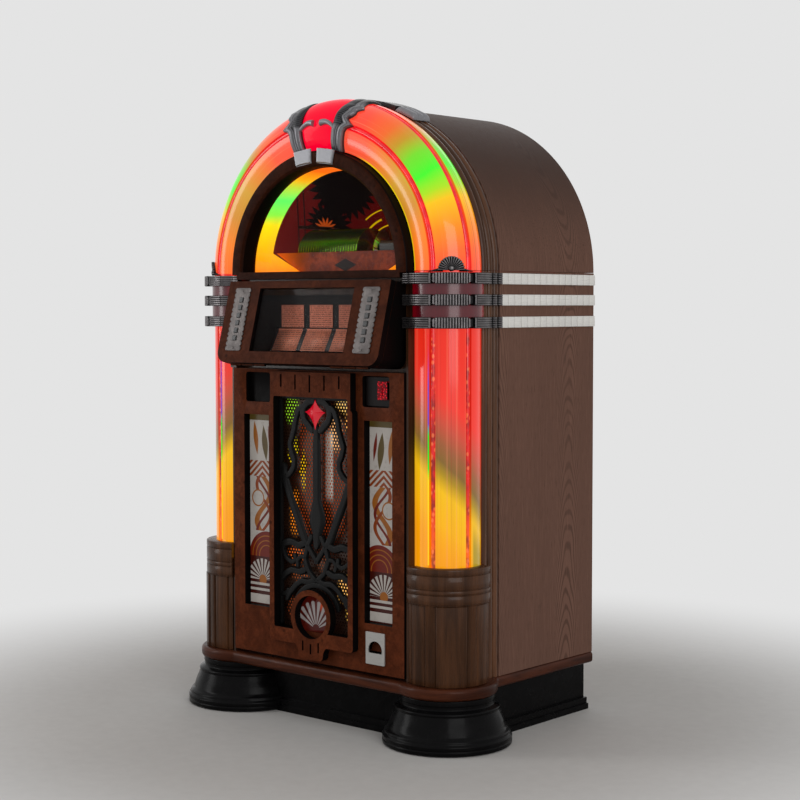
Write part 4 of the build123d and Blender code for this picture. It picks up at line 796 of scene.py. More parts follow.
def lit_column():
    """Column plastic: red above, through a dim olive, to yellow and orange at the foot; the change lies lower towards
    the side, where the last strip stays olive. Pale and dark streaks run up it. Faces that look left carry a
    painted pale reflection."""
    made = Finish("lit_column", Roughness=0.25, Coat_Weight=0.5, Coat_Roughness=0.08, Specular_IOR_Level=0.15)
    _, _, up = made.axes()
    turn, _ = made.wrap()
    drift = made.noise(made.spot((1, 1, 0.3)), 6.0, 2.0) - 0.5
    level = up + (turn - 0.5) * 0.20 + drift * 0.03
    tone = made.ramp(made.between(level, 0.40, 1.00), [
        (0.00, 255, 162, 0), (0.08, 255, 184, 0), (0.22, 250, 194, 0), (0.31, 176, 142, 14),
        (0.38, 132, 100, 40), (0.48, 158, 92, 52), (0.60, 206, 78, 56), (0.74, 246, 52, 38),
        (1.00, 240, 42, 20)])
    olive = made.between(turn, 0.76, 0.80) * made.between(level, 0.60, 0.52)
    streaks = made.noise(made.join(turn * 40, 0.0, up * 0.5), 1.0, 3.0)
    channel = made.mix(made.between(level, 0.52, 0.70), paint(250, 120, 0), paint(196, 22, 14))
    # painted reflection: faces that look left get a pale wash, the wall's light off the plastic
    painted_reflection = made.between(made.facing()[0], -0.62, -0.92)
    tone = made.over(
        tone, (olive * 0.8, paint(150, 138, 14)), (made.between(streaks, 0.52, 0.70) * 0.22, paint(255, 150, 112)),
        (made.between(streaks, 0.44, 0.30) * 0.35, paint(150, 20, 6)),
        (made.between(turn, 0.95, 1.0) * 0.7, paint(200, 20, 12)), (groove(made, turn) * 0.75, channel),
        (painted_reflection * 0.62, paint(218, 208, 204)))
    return glow(made, tone, 0.25, 0.92)


def lit_arch():
    """Arch plastic: red at the crown, olive, green, yellow and orange down to the spring, more amber at the inner
    edge, with a crimson channel under each tube and a yellow line along the inner rim. Faces that look left carry
    a painted pale reflection."""
    made = Finish("lit_arch", Roughness=0.25, Coat_Weight=0.5, Coat_Roughness=0.08, Specular_IOR_Level=0.15)
    right, _, up = made.axes()
    turn, _ = made.wrap()
    drift = made.noise(made.spot(), 8.0, 2.0) - 0.5
    angle = abs(arch_turn(right, up)) * (2 / math.pi) + drift * 0.05 + (turn - 0.5) * 0.03
    outer = made.ramp(angle, [
        (0.00, 255, 62, 52), (0.24, 255, 72, 46), (0.36, 240, 104, 30), (0.44, 196, 150, 24),
        (0.52, 116, 220, 34), (0.61, 62, 246, 34), (0.69, 170, 226, 16), (0.74, 255, 192, 0),
        (0.84, 255, 142, 14), (0.93, 255, 104, 40), (1.00, 255, 84, 46)])
    inner = made.ramp(angle, [
        (0.00, 255, 74, 60), (0.30, 255, 90, 56), (0.42, 240, 130, 46), (0.55, 214, 160, 52),
        (0.70, 214, 142, 46), (0.85, 255, 130, 34), (1.00, 255, 108, 36)])
    tone = made.mix(made.between(turn, 0.22, 0.36), inner, outer)
    streaks = made.noise(made.join(turn * 60, 0.0, angle * 1.5), 1.0, 3.0)
    rim = made.between(turn, 0.035, 0.010) * made.between(angle, 0.22, 0.36)
    line = made.between(abs(turn - 0.835), 0.008, 0.003) + made.between(abs(turn - 0.80), 0.006, 0.002) * 0.6
    # painted reflection: faces that look left get a pale wash, the wall's light off the plastic
    painted_reflection = made.between(made.facing()[0], -0.60, -0.90) * made.between(turn, 0.30, 0.45)
    tone = made.over(
        tone, (rim * 0.85, paint(255, 226, 0)), (made.between(streaks, 0.55, 0.75) * 0.16, paint(255, 206, 150)),
        (line * 0.55, paint(120, 56, 30)), (groove(made, turn) * 0.85, paint(226, 12, 30)),
        (painted_reflection * 0.6, paint(206, 200, 186)))
    return glow(made, tone, 0.25)


def bubble_tube():
    """Bubble tubes: crimson above and orange at the foot, with rising bubbles."""
    made = Finish("bubble_tube", Roughness=0.12, Coat_Weight=0.2, Coat_Roughness=0.03)
    right, back, up = made.axes()
    beads = made.between(made.cells(made.join(right * 90, back * 90, up * 60), 1.0), 0.20, 0.42, 1.0, 0.0)
    flow = made.noise(made.join(right * 60, back * 60, up * 26), 1.0, 3.0)
    tone = made.mix(made.between(up, 0.42, 0.62, 1.0, 0.0), paint(216, 16, 14), paint(240, 96, 6))
    tone = made.over(tone, (made.between(flow, 0.42, 0.66) * 0.7, paint(96, 4, 4)),
                     (beads * 0.5, paint(255, 130, 70)))
    return glow(made, tone, 0.30)


def thread_light():
    """The thin coloured light beside the front tube: violet above, green, then yellow."""
    made = Finish("thread_light", Roughness=0.2)
    tone = made.ramp(made.between(made.axes()[2], 0.44, 0.95), [
        (0.00, 255, 200, 0), (0.30, 240, 214, 0), (0.38, 20, 226, 20), (0.60, 20, 210, 30),
        (0.68, 110, 60, 190), (0.90, 120, 60, 180), (1.00, 225, 30, 30)])
    return glow(made, tone, 0.30)


def arch_tube():
    """Arch tubes: plain crimson light with soft breaks in it."""
    made = Finish("arch_tube", Roughness=0.12, Coat_Weight=0.2, Coat_Roughness=0.03)
    spots = made.noise(made.spot(), 34.0, 4.0)
    tone = made.mix(made.between(spots, 0.4, 0.7), paint(214, 6, 26), paint(246, 34, 40))
    tone = made.mix(made.between(spots, 0.68, 0.78) * 0.7, tone, paint(255, 130, 80))
    return glow(made, tone, 0.30)


def lit_liner():
    """The dome's inner ring: orange at the top, green at its shoulders, yellow, then orange at the sill."""
    made = Finish("lit_liner", Roughness=0.35, Specular_IOR_Level=0.2)
    right, _, up = made.axes()
    drift = made.noise(made.spot(), 9.0, 2.0) - 0.5
    tone = made.ramp(abs(arch_turn(right, up)) * (2 / math.pi) + drift * 0.06, [
        (0.10, 255, 110, 20), (0.26, 255, 176, 20), (0.36, 190, 220, 60), (0.48, 96, 250, 100),
        (0.60, 140, 240, 70), (0.68, 250, 222, 20), (0.84, 255, 180, 20), (1.00, 255, 128, 20)])
    return glow(made, tone, 0.45, 1.3)


def jewel_red():
    """Cast red plastic lit from behind, in soft clouds."""
    made = Finish("jewel_red", Roughness=0.18, Coat_Weight=0.2, Coat_Roughness=0.04)
    return glow(made, made.mix(made.noise(made.spot(), 30.0, 3.0), paint(150, 0, 20), paint(206, 10, 36)))


def crown_red():
    """The crown's lens: nearly even red light."""
    made = Finish("crown_red", Roughness=0.2, Coat_Weight=0.08, Coat_Roughness=0.04, Specular_IOR_Level=0.05)
    tone = made.mix(made.noise(made.spot(), 7.0, 2.0), paint(240, 0, 40), paint(255, 0, 52))
    return glow(made, tone, 0.20, 1.05)


def sleeve_crimson():
    """Crimson sleeves: deep plastic with lighter ends where the lamps shine through, and fine upright streaks."""
    made = Finish("sleeve_crimson", Roughness=0.25, Coat_Weight=0.2, Coat_Roughness=0.08)
    turn, _ = made.wrap()
    streaks = made.noise(made.join(turn * 60, made.axes()[2] * 4, 0.0), 1.0, 4.0)
    ground = tuple(colours().sleeve)
    tone = made.mix(streaks, shade(ground, 0.7), shade(ground, 1.6))
    tone = made.mix(made.between(abs(turn - 0.5), 0.34, 0.49) * 0.75, tone, paint(168, 4, 28))
    return made.set(Base_Color=tone, Emission_Color=tone, Emission_Strength=0.2)


def clear_pane():
    """Window glass: almost clear, with soft smears that show a little more."""
    made = Finish("clear_pane", Base_Color=(0.020, 0.010, 0.009, 1), Specular_IOR_Level=0.06)
    smear = made.noise(made.spot((3, 1, 1)), 7.0, 4.0)
    return made.set(Roughness=made.between(smear, 0.4, 0.8, 0.05, 0.16),
                    Alpha=made.between(smear, 0.35, 0.8, 0.06, 0.12))


def print_lines(made, across, up, ground, ink):
    """Paper tone with rows of short print-like dashes: rows by height, dashes by noise along each row."""
    rows = up * 200.0
    words = made.noise(made.join(across * 420, rows.math("FLOOR") * 7.3, 0.0), 1.0, 1.0)
    marks = (rows % 1.0 > 0.5) * made.between(words, 0.44, 0.52)
    return made.mix(marks * 0.6, ground, ink)


def card_holder():
    """Black holder behind the title window, with three salmon cards whose faces carry rows of dashes."""
    made = Finish("card_holder", Roughness=0.6, Specular_IOR_Level=0.2)
    right, _, up = made.axes()
    off = right - (right / CARD_PITCH + 0.5).math("FLOOR") * CARD_PITCH
    card = (abs(off) < 0.0385) * (abs(up - 1.004) < 0.0275) * (abs(right) < 0.14)
    paper = made.mix(made.noise(made.spot(), 26.0, 3.0), paint(222, 126, 100), paint(252, 160, 130))
    paper = print_lines(made, right, up, paper, paint(84, 44, 38))
    return made.set(Base_Color=made.mix(card, (0.006, 0.006, 0.006, 1), paper))


def card_paper():
    """Title cards on the leaf: salmon paper with rows of small print-like dashes, and dark gaps between the cards."""
    made = Finish("card_paper", Roughness=0.55)
    right, _, up = made.axes()
    tone = made.mix(made.noise(made.spot(), 60.0, 3.0), paint(232, 130, 100), paint(255, 166, 132))
    tone = print_lines(made, right, up, tone, paint(96, 50, 40))
    gap = made.between(abs((right / CARD_PITCH + 0.5) % 1.0 - 0.5), 0.42, 0.43)
    return made.set(Base_Color=made.mix(gap, tone, (0.006, 0.005, 0.005, 1)))


def coin_face():
    """Black plate of the coin entry, and its push button, a rough red plastic lit from behind."""
    made = Finish("coin_face", Roughness=0.4, Specular_IOR_Level=0.1)
    right, _, up = made.axes()
    lamp = (abs(right - 0.214) < 0.0150) * (abs(up - 0.830) < 0.0215)
    lumps = made.cells(made.spot(), 210.0)
    red = made.mix(made.between(lumps, 0.1, 0.5), paint(216, 20, 34), paint(84, 0, 8))
    return made.set(Base_Color=made.mix(lamp, (0.006, 0.004, 0.004, 1), red),
                    Emission_Color=made.mix(lamp, (0, 0, 0, 1), red), Emission_Strength=0.7,
                    Normal=made.bump(lumps * lamp, 0.0006))


# ---- stage


class JUKEBOX_OT_stage(bpy.types.Operator):
    """Pale floor and backdrop, soft lamps, and the camera at the photograph's place."""

    bl_idname = "jukebox.stage"
    bl_label = "Stage"

    def execute(self, context):
        self.floor()
        self.lamps()
        self.camera()
        context.scene.view_settings.view_transform = "Standard"
        return {"FINISHED"}

    def floor(self):
        """A wide flat floor that curves up behind as a backdrop: a circle swept straight up past a quarter turn."""
        reach, bend, rise = 9.0, 1.2, 5.0
        turn = np.linspace(0, QUARTER, 12)
        radius = np.concatenate([[0.0, reach - bend], reach - bend + bend * np.sin(turn[1:]), [reach]])[:, None]
        height = np.concatenate([[0.0, 0.0], bend - bend * np.cos(turn[1:]), [rise]])[:, None]
        around = np.linspace(0, 2 * math.pi, 65)
        shape = Shape()
        shape.grid(np.stack([radius * np.cos(around), radius * np.sin(around), height + 0 * around], -1))
        mesh = bpy.data.meshes.new("floor")
        mesh.from_pydata(np.concatenate(shape.points).tolist(), [], shape.faces)
        tidy_mesh(mesh, 1e-5)
        mesh.flip_normals()
        smooth(mesh, 60)
        mesh.materials.append(self.floor_finish())
        put("floor", mesh)

    @staticmethod
    def floor_finish():
        """Pale concrete, grey near the cabinet, where its shadow lies. Away from the cabinet the eye sees it give an
        even pale light."""
        made = Finish("studio_floor", Roughness=0.7, Specular_IOR_Level=0.2)
        right, back, up = made.axes()
        cloud = made.noise(made.spot(), 0.9, 5.0)
        grain = made.noise(made.spot(), 30.0, 5.0)
        made.set(Base_Color=made.mix(cloud * 0.6 + grain * 0.4, paint(186, 183, 180), paint(216, 214, 211)))
        away = made.between(length(right, back) + up, 0.7, 2.0)
        light = made.node("ShaderNodeEmission", {}, {"Color": paint(228, 228, 228), "Strength": 1.0})
        made.show("Material Output", made.seen() * away, Value(made, made.shader.outputs[0]), light)
        return made.owner

    @staticmethod
    def lamps():
        """Three soft panels of light, and an even sky that the eye sees as pale grey."""
        target = Vector((0, 0, 0.75))
        for name, where, size, power in (
                ("key", (4.1, -2.3, 1.9), (2.6, 2.6), 64), ("fill", (-3.4, -2.9, 1.9), (1.1, 3.2), 48),
                ("back", (-1.6, 3.2, 3.2), (2.4, 2.4), 10)):
            lamp = bpy.data.lights.new(name, "AREA")
            lamp.shape = "RECTANGLE"
            lamp.size, lamp.size_y = size
            lamp.energy = power
            holder = put(name, lamp)
            holder.location = where
            holder.rotation_euler = (target - Vector(where)).to_track_quat("-Z", "Y").to_euler()
        sky = Tree(bpy.data.worlds.new("studio"))
        ground = sky.tree.nodes["Background"]
        ground.inputs["Color"].default_value = (1, 1, 1, 1)
        ground.inputs["Strength"].default_value = 0.45
        pale = sky.node("ShaderNodeBackground", {}, {"Color": (0.78, 0.78, 0.78, 1), "Strength": 1.0})
        sky.show("World Output", sky.seen(), Value(sky, ground.outputs[0]), pale)
        bpy.context.scene.world = sky.owner

    @staticmethod
    def camera():
        """A 77 mm lens from the front right, a little above the cabinet's middle."""
        lens = bpy.data.cameras.new("camera")
        lens.lens = 77.02
        lens.sensor_width = 36
        holder = put("camera", lens)
        holder.location = (2.87429, -3.25921, 1.03035)
        holder.rotation_euler = (QUARTER - 0.055271, 0.0011, 0.714448)
        bpy.context.scene.camera = holder


# ---- finishes of the solids that stay


PLAIN = {
    "side_panels": (walnut_veneer, "up"),
    "back_panel": (raw_board,),
    "lid_back_panel": (raw_board,),
    "mech_deck": (raw_board,),
    "plinth": (black_lacquer,),
    "front_frame": (turned_walnut, 0.6, 0.15, "up"),
    "title_page_holder": (card_holder,),
    "disc_rack": (black_plastic, 1.6),
    "player_base": (black_plastic, 1.4),
    "amplifier": (black_metal,),
    "speakers": (black_metal,),
    "coin_entry": (coin_face,),
    "coin_return_flap": (burl_veneer, 0.6, False),
    # painted shade: the coin return plate takes a darker copy of the pale plate
    "coin_return_plate": (pale_plate, 0.5),
    "window_glass": (clear_pane,),
    "title_glass": (clear_pane,),
    "carriage": (black_metal,),
    "crown_cap": (black_metal,),
}


class JUKEBOX_OT_plain_finishes(bpy.types.Operator):
    """Finishes of the solids whose shape is shown as it is."""

    bl_idname = "jukebox.plain_finishes"
    bl_label = "Plain finishes"

    def execute(self, context):
        for node, maker in PLAIN.items():
            for slot in frame["nodes"][node].material_slots:
                slot.material = finish(*maker)
        return {"FINISHED"}


# ---- columns and arch


def plastic_section():
    """The ribbed plastic's section: the round dips into a half-round channel at each tube."""
    half_width, dip_depth, wall = 7.5, 12.0, 4.0
    swing = half_width / COLUMN_RADIUS * np.sin(np.linspace(-QUARTER, QUARTER, 21))
    turns = np.unique(np.concatenate([column_span(), *[tube + swing for tube in TUBE_TURNS]]))
    dip = sum(dip_depth * half_round((turns - tube) * COLUMN_RADIUS / half_width) for tube in TUBE_TURNS)
    outer, inner = on_column(turns, -dip), on_column(turns[::-1], -dip[::-1] - wall)
    across = (loop(turns, turns[::-1]) - FRONT_TURN) / (SIDE_TURN - FRONT_TURN)
    return loop(outer[0], inner[0]), loop(outer[1], inner[1]), across


def tube_section(turn):
    """A round section at one tube's place."""
    reach, depth = on_column(turn, -TUBE_SINK)
    x, y = ring_outline(TUBE_RADIUS, 20)
    return reach + x, depth + y


class JUKEBOX_OT_lit_plastics(bpy.types.Operator):
    """Lit corner columns and arch: one ribbed section run up each side and turned over the top, with its tubes."""

    bl_idname = "jukebox.lit_plastics"
    bl_label = "Lit plastics"

    def execute(self, context):
        reach, depth, across = plastic_section()
        heights = np.linspace(COLUMN_FOOT, COLUMN_HEAD, 25)
        columns, arch, tubes, arch_tubes = Shape(), Shape(), Shape(), Shape()
        for side in SIDES:
            columns.grid(up_column(reach, depth, heights, side), section_map(across, heights * MM), ends=True)
            for turn in TUBE_TURNS:
                tubes.grid(up_column(*tube_section(turn), heights, side), ends=True)
        arch.grid(over_arch(reach, depth, ARCH_TURNS), section_map(across, ARCH_TURNS), ends=True)
        for turn in TUBE_TURNS:
            arch_tubes.grid(over_arch(*tube_section(turn), ARCH_TURNS), ends=True)
        columns.make("column_plastics_lit", "cabinet", finish(lit_column), "lit_column", ("column_plastics",), 50)
        tubes.make("bubble_tubes_lit", "cabinet", finish(bubble_tube), "tube", ("bubble_tubes",))
        arch.make("arch_plastic_lit", "lid", finish(lit_arch), "lit_arch", ("arch_plastic",), 50)
        arch_tubes.make("arch_tubes_lit", "lid", finish(arch_tube), "tube", ("arch_tubes",))
        self.threads()
        return {"FINISHED"}

    @staticmethod
    def threads():
        """Thin coloured light rods beside the front tube of each column."""
        shape = Shape()
        x, y = ring_outline(1.7, 10)
        reach, depth = on_column(TUBE_TURNS[0] - math.radians(7.2), 0.4)
        for side in SIDES:
            shape.grid(up_column(reach + x, depth + y, np.linspace(430, 965, 12), side), ends=True)
        shape.make("light_threads", "cabinet", finish(thread_light), "tube")


REED_DEPTHS = (398.5, 419.5, 440.5)


def reeded_section():
    """Three round reeds side by side on a flat root."""
    root, centre, radius = 380.0, 400.5, 10.2
    turn = np.linspace(-QUARTER, QUARTER, 17)
    reach, depth = [root], [REED_DEPTHS[0] - radius]
    for middle in REED_DEPTHS:
        reach += (centre + radius * np.cos(turn)).tolist()
        depth += (middle + radius * np.sin(turn)).tolist()
    reach += [root, root]
    depth += [REED_DEPTHS[-1] + radius, REED_DEPTHS[0] - radius]
    return np.array(reach), np.array(depth)


class JUKEBOX_OT_mouldings(bpy.types.Operator):
    """Reeded walnut mouldings behind the lit plastics: up both corners and over the arch."""

    bl_idname = "jukebox.mouldings"
    bl_label = "Mouldings"

    def execute(self, context):
        reach, depth = reeded_section()
        corners, arch = Shape(), Shape()
        for side in SIDES:
            corners.grid(up_column(reach, depth, np.linspace(148.8, COLUMN_HEAD, 9), side), ends=True)
        arch.grid(over_arch(reach, depth, ARCH_TURNS), ends=True)
        corners.make("corner_mouldings_reeded", "cabinet", finish(turned_walnut, 1.25, 0.2, "up"),
                     "dark_wood", ("corner_mouldings",))
        arch.make("lid_moulding_reeded", "lid", finish(turned_walnut, 1.0, 0.2, "round"),
                  "dark_wood", ("lid_moulding",))
        return {"FINISHED"}


# ---- belt


BAND_HEIGHTS = (1092.5, 1042.5, 990.0)
BAND_HALF = 13.0
BAND_GROW = 26.0
BAND_FRONT, BAND_ROOT = 585.0, 568.0  # the band's flat on the cabinet's front: its face and its back
SLEEVE_GROW = 6.0
SLEEVE_FOOT, SLEEVE_HEAD = 977.0, 1105.5


def band_path(ribs):
    """Stations along one band, as columns: outer reach, outer depth, normal reach, normal depth, inner reach,
    inner depth, share of the full height, how strongly the face is lined lengthwise, and how near a crest it is."""
    rows = []

    def on_round(degrees, sink=0.0, height=1.0, lined=0.0, crest=1.0):
        turn = math.radians(degrees)
        rows.append([*on_column(turn, BAND_GROW - sink), math.sin(turn), math.cos(turn),
                     *on_column(turn, SLEEVE_GROW + SEAT), height, lined, crest])

    def on_front(reach, sink):
        rows.append([reach, BAND_FRONT - sink, 0, 1, reach, BAND_ROOT, 1.0, 1.0, 1.0])

    def bead(start, end):
        for part in np.linspace(-1, 1, 9):
            swell = half_round(part)
            on_round((start + end) / 2 + (end - start) / 2 * part, 1.6 + 2.6 * (1 - swell), 0.97, 0.0, swell)

    def lined_run(*turns):
        for degrees in turns:
            on_round(degrees, 2.2, 1.0, 1.0)

    def neck(*turns):
        for degrees in turns:
            on_round(degrees, 9.0, 0.70, 0.0, 0.2)

    on_front(274.0, 3.4)
    on_front(275.4, 2.2)
    on_front(293.0, 2.2)
    lined_run(-22.0, -16.0, -10.0, -7.5)
    for degrees in (-7.4, -6.7):
        on_round(degrees, 4.6, 0.94, 0.0, 0.2)
    lined_run(-6.6, -1.0, 4.0, 9.0, 14.2)
    bead(14.4, 17.8)
    neck(18.0, 19.6)
    for step in np.linspace(0, ribs, ribs * 8 + 1):
        share = step / ribs
        swell = half_round(abs(step % 1.0 - 0.5) * 2)
        on_round(19.8 + 50.8 * share, 3.2 * (1 - swell), 0.62 + 0.38 * min(1.0, min(share, 1 - share) / 0.085),
                 0.0, swell)
    neck(70.8, 77.4)
    bead(77.6, 81.0)
    lined_run(81.2, 90.0, 98.0, 106.0, 112.0)
    for middle in REED_DEPTHS[::-1]:
        for swing in np.linspace(68, -68, 11):
            lean = math.radians(swing)
            rows.append([413.6 + 11.6 * math.cos(lean), middle + 11.0 * math.sin(lean),
                         math.cos(lean), math.sin(lean), 411.6, middle + 9.5 * math.sin(lean), 1.0, 1.0,
                         math.cos(lean) ** 2])
    return np.array(rows)


def band_grid(path, centre, side):
    """The band's skin and its map: at each station a loop up the outer face, whose ridges are half rounds, and down
    the inner; the map holds how near each point is to a crest."""
    ridges = 5
    level = np.linspace(-1, 1, ridges * 6 + 1)
    ridge = 1 - half_round((level + 1) / 2 * ridges % 1.0 * 2 - 1)
    edge = np.clip((np.abs(level) - 0.88) / 0.12, 0, 1) ** 2
    reach, depth, lean_reach, lean_depth, inner_reach, inner_depth, share, lined, near = path.T[:, :, None]
    sink = 1.5 * lined * ridge + 1.3 * edge
    half = BAND_HALF * share
    crest = near * (1 - lined * ridge) * (1 - 0.7 * edge)
    crest = loop(crest, 0 * near, 0 * near)
    reach = loop(reach - lean_reach * sink, inner_reach, inner_reach)
    depth = loop(depth - lean_depth * sink, inner_depth, inner_depth)
    height = loop(centre + half * level, centre + half, centre - half)
    return place(side * reach, depth, height), np.stack([crest, crest], -1)


class JUKEBOX_OT_belt(bpy.types.Operator):
    """Three ribbed metal bands round each column, pale link strips along the sides, and crimson sleeves between."""

    bl_idname = "jukebox.belt"
    bl_label = "Belt bands"

    def execute(self, context):
        bands, strips, sleeves = Shape(), Shape(), Shape()
        path = band_path(sizes().band_ribs)
        for side in SIDES:
            for centre in BAND_HEIGHTS:
                bands.grid(*band_grid(path, centre, side), ends=True)
                strips.grid(self.links(centre, side, sizes().strip_links), ends=True)
            turn = column_span(SLEEVE_GROW, 41)
            outer, inner = on_column(turn, SLEEVE_GROW), on_column(turn[::-1], SEAT)
            reach, depth = loop(outer[0], inner[0]), loop(outer[1], inner[1])
            across = (loop(turn, turn[::-1]) - turn[0]) / (turn[-1] - turn[0])
            heights = np.array([SLEEVE_FOOT, SLEEVE_HEAD])
            sleeves.grid(up_column(reach, depth, heights, side), section_map(across, heights * MM), ends=True)
        bands.make("belt_bands_ribbed", "cabinet", finish(trim_metal), "chrome", ("belt_bands",), 40)
        strips.make("belt_side_links", "cabinet", finish(pale_plate), "chrome", ("belt_bands",), 40)
        sleeves.make("belt_sleeves_smooth", "cabinet", finish(sleeve_crimson), "sleeve", ("belt_sleeves",))
        return {"FINISHED"}

    @staticmethod
    def links(centre, side, count):
        """A side strip: a flat bar whose face dips to a dark groove between one plate and the next."""
        start, end, inner, face, groove, bevel = 0.5, 386.0, 410.3, 415.3, 0.7, 0.9
        run = (end - start) / count
        rows = []
        for link in range(count):
            near, far = start + link * run, start + (link + 1) * run
            for depth, sink in ((near, 3.0), (near + groove, 3.0), (near + groove, 0.5), (near + groove + bevel, 0.0),
                                (far - groove - bevel, 0.0), (far - groove, 0.5), (far - groove, 3.0)):
                rows.append((depth, face - sink))
        rows.append((end, face - 3.0))
        depth, proud = np.array(rows).T
        level = np.array([-1, -0.96, -0.90, 0.90, 0.96, 1.0])
        trim = np.array([1.2, 0.4, 0.0, 0.0, 0.4, 1.2])
        reach = loop(np.maximum(proud[:, None] - trim, inner + 0.2), np.full((len(depth), 2), inner))
        height = centre + BAND_HALF * loop(level, [1, -1])
        return place(side * reach, depth[:, None], height[None, :])


# ---- column covers


# each: the degrees round the column where a plank starts, and how far it stands out
COVER_RISES = ((-15.0, 22.6), (9.5, 24.6), (24.8, 27.0))
COVER_FOOT_GROW = 20.6
COVER_TOP_GROW = 25.5


class JUKEBOX_OT_column_covers(bpy.types.Operator):
    """Walnut covers at the columns' feet: lined across at the top, and planked in steps up to a wide middle below."""

    bl_idname = "jukebox.column_covers"
    bl_label = "Column covers"

    def execute(self, context):
        covers = Shape()
        for side in SIDES:
            covers.grid(self.skin(side), ends=True)
        covers.make("column_covers_planked", "cabinet", finish(turned_walnut, 0.9, 0.12, "up"), "burl_veneer",
                    ("column_covers",), 50)
        return {"FINISHED"}

    def skin(self, side):
        """Rows climb the cover and columns go round it: the column's round with the planks' relief, and back inside."""
        heights, sink, planked = self.rows().T[:, :, None]
        near = np.array([-1.6, -1.0, -0.5, -0.2, 0.0, 0.25, 0.6, 1.1])
        left = np.concatenate([near + start for start, _ in COVER_RISES])
        turn = np.unique(np.concatenate([np.degrees(column_span(COVER_TOP_GROW)), left, 90 - left]))
        angle = np.radians(turn)
        grow = sink + planked * self.planks(turn) + (1 - planked) * COVER_TOP_GROW
        outer, inner = on_column(angle, grow), on_column(angle[::-1], SEAT + 0 * heights)
        return place(side * loop(outer[0], inner[0]), loop(outer[1], inner[1]), heights)

    @staticmethod
    def planks(turn):
        """How far the face stands out: steps rise to the middle plank, each with a hollow at its foot and a round
        edge, alike on both sides of the corner."""
        mirrored = np.minimum(turn, 90.0 - turn)
        grow = np.full_like(turn, COVER_FOOT_GROW)
        for start, after in COVER_RISES:
            off = mirrored - start
            grow = np.where(off > 0, after, grow)
            grow -= np.where(off <= 0, 2.8 * np.exp(-(off / 1.7) ** 2), 0)
            grow -= np.where(off > 0, 1.6 * np.clip(1 - off / 1.8, 0, 1) ** 2, 0)
        return grow

    @staticmethod
    def rows():
        """Heights up the cover, each with how far its face stands out and how much of the planking it takes."""
        foot, top, planked = 149.6, 424.0, 338.0
        rows = [(foot, -1.2, 1), (foot + 1.5, 0.0, 1), (planked - 1.2, 0.0, 1), (planked, -0.3, 1),
                (planked, -0.8, 0)]
        for groove in (340.0, 363.5, 375.0, 408.0):
            rows += [(groove - 2.2, 0.0, 0), (groove - 1.3, -0.7, 0), (groove - 0.5, -2.4, 0),
                     (groove + 0.5, -2.4, 0), (groove + 1.3, -0.7, 0), (groove + 2.2, 0.0, 0)]
        rows += [(top - 3.0, 0.0, 0), (top - 0.9, -0.5, 0), (top, -1.8, 0)]
        return np.array(sorted(rows, key=lambda row: row[0]))


# ---- base


def lathe(profile, reach, depth):
    """A profile of radius and height turned about an upright axis."""
    radius, height = np.array(profile, float).T[:, :, None]
    turn = np.linspace(0, 2 * math.pi, 97)
    return place(reach + radius * np.cos(turn), depth + radius * np.sin(turn), height)


def rounded_line(corners, radius, steps=6):
    """A run of corners with each inner corner rounded: a quadratic bend between points set back along both sides."""
    corners = [np.array(corner, float) for corner in corners]
    line = [corners[0]]
    for before, corner, after in zip(corners, corners[1:], corners[2:]):
        back, ahead = before - corner, after - corner
        cut = min(radius, np.linalg.norm(back) / 2.05, np.linalg.norm(ahead) / 2.05)
        start = corner + back / max(np.linalg.norm(back), 1e-9) * cut
        end = corner + ahead / max(np.linalg.norm(ahead), 1e-9) * cut
        for part in np.linspace(0, 1, steps):
            line.append((1 - part) ** 2 * start + 2 * part * (1 - part) * corner + part ** 2 * end)
    line.append(corners[-1])
    return np.array(line)


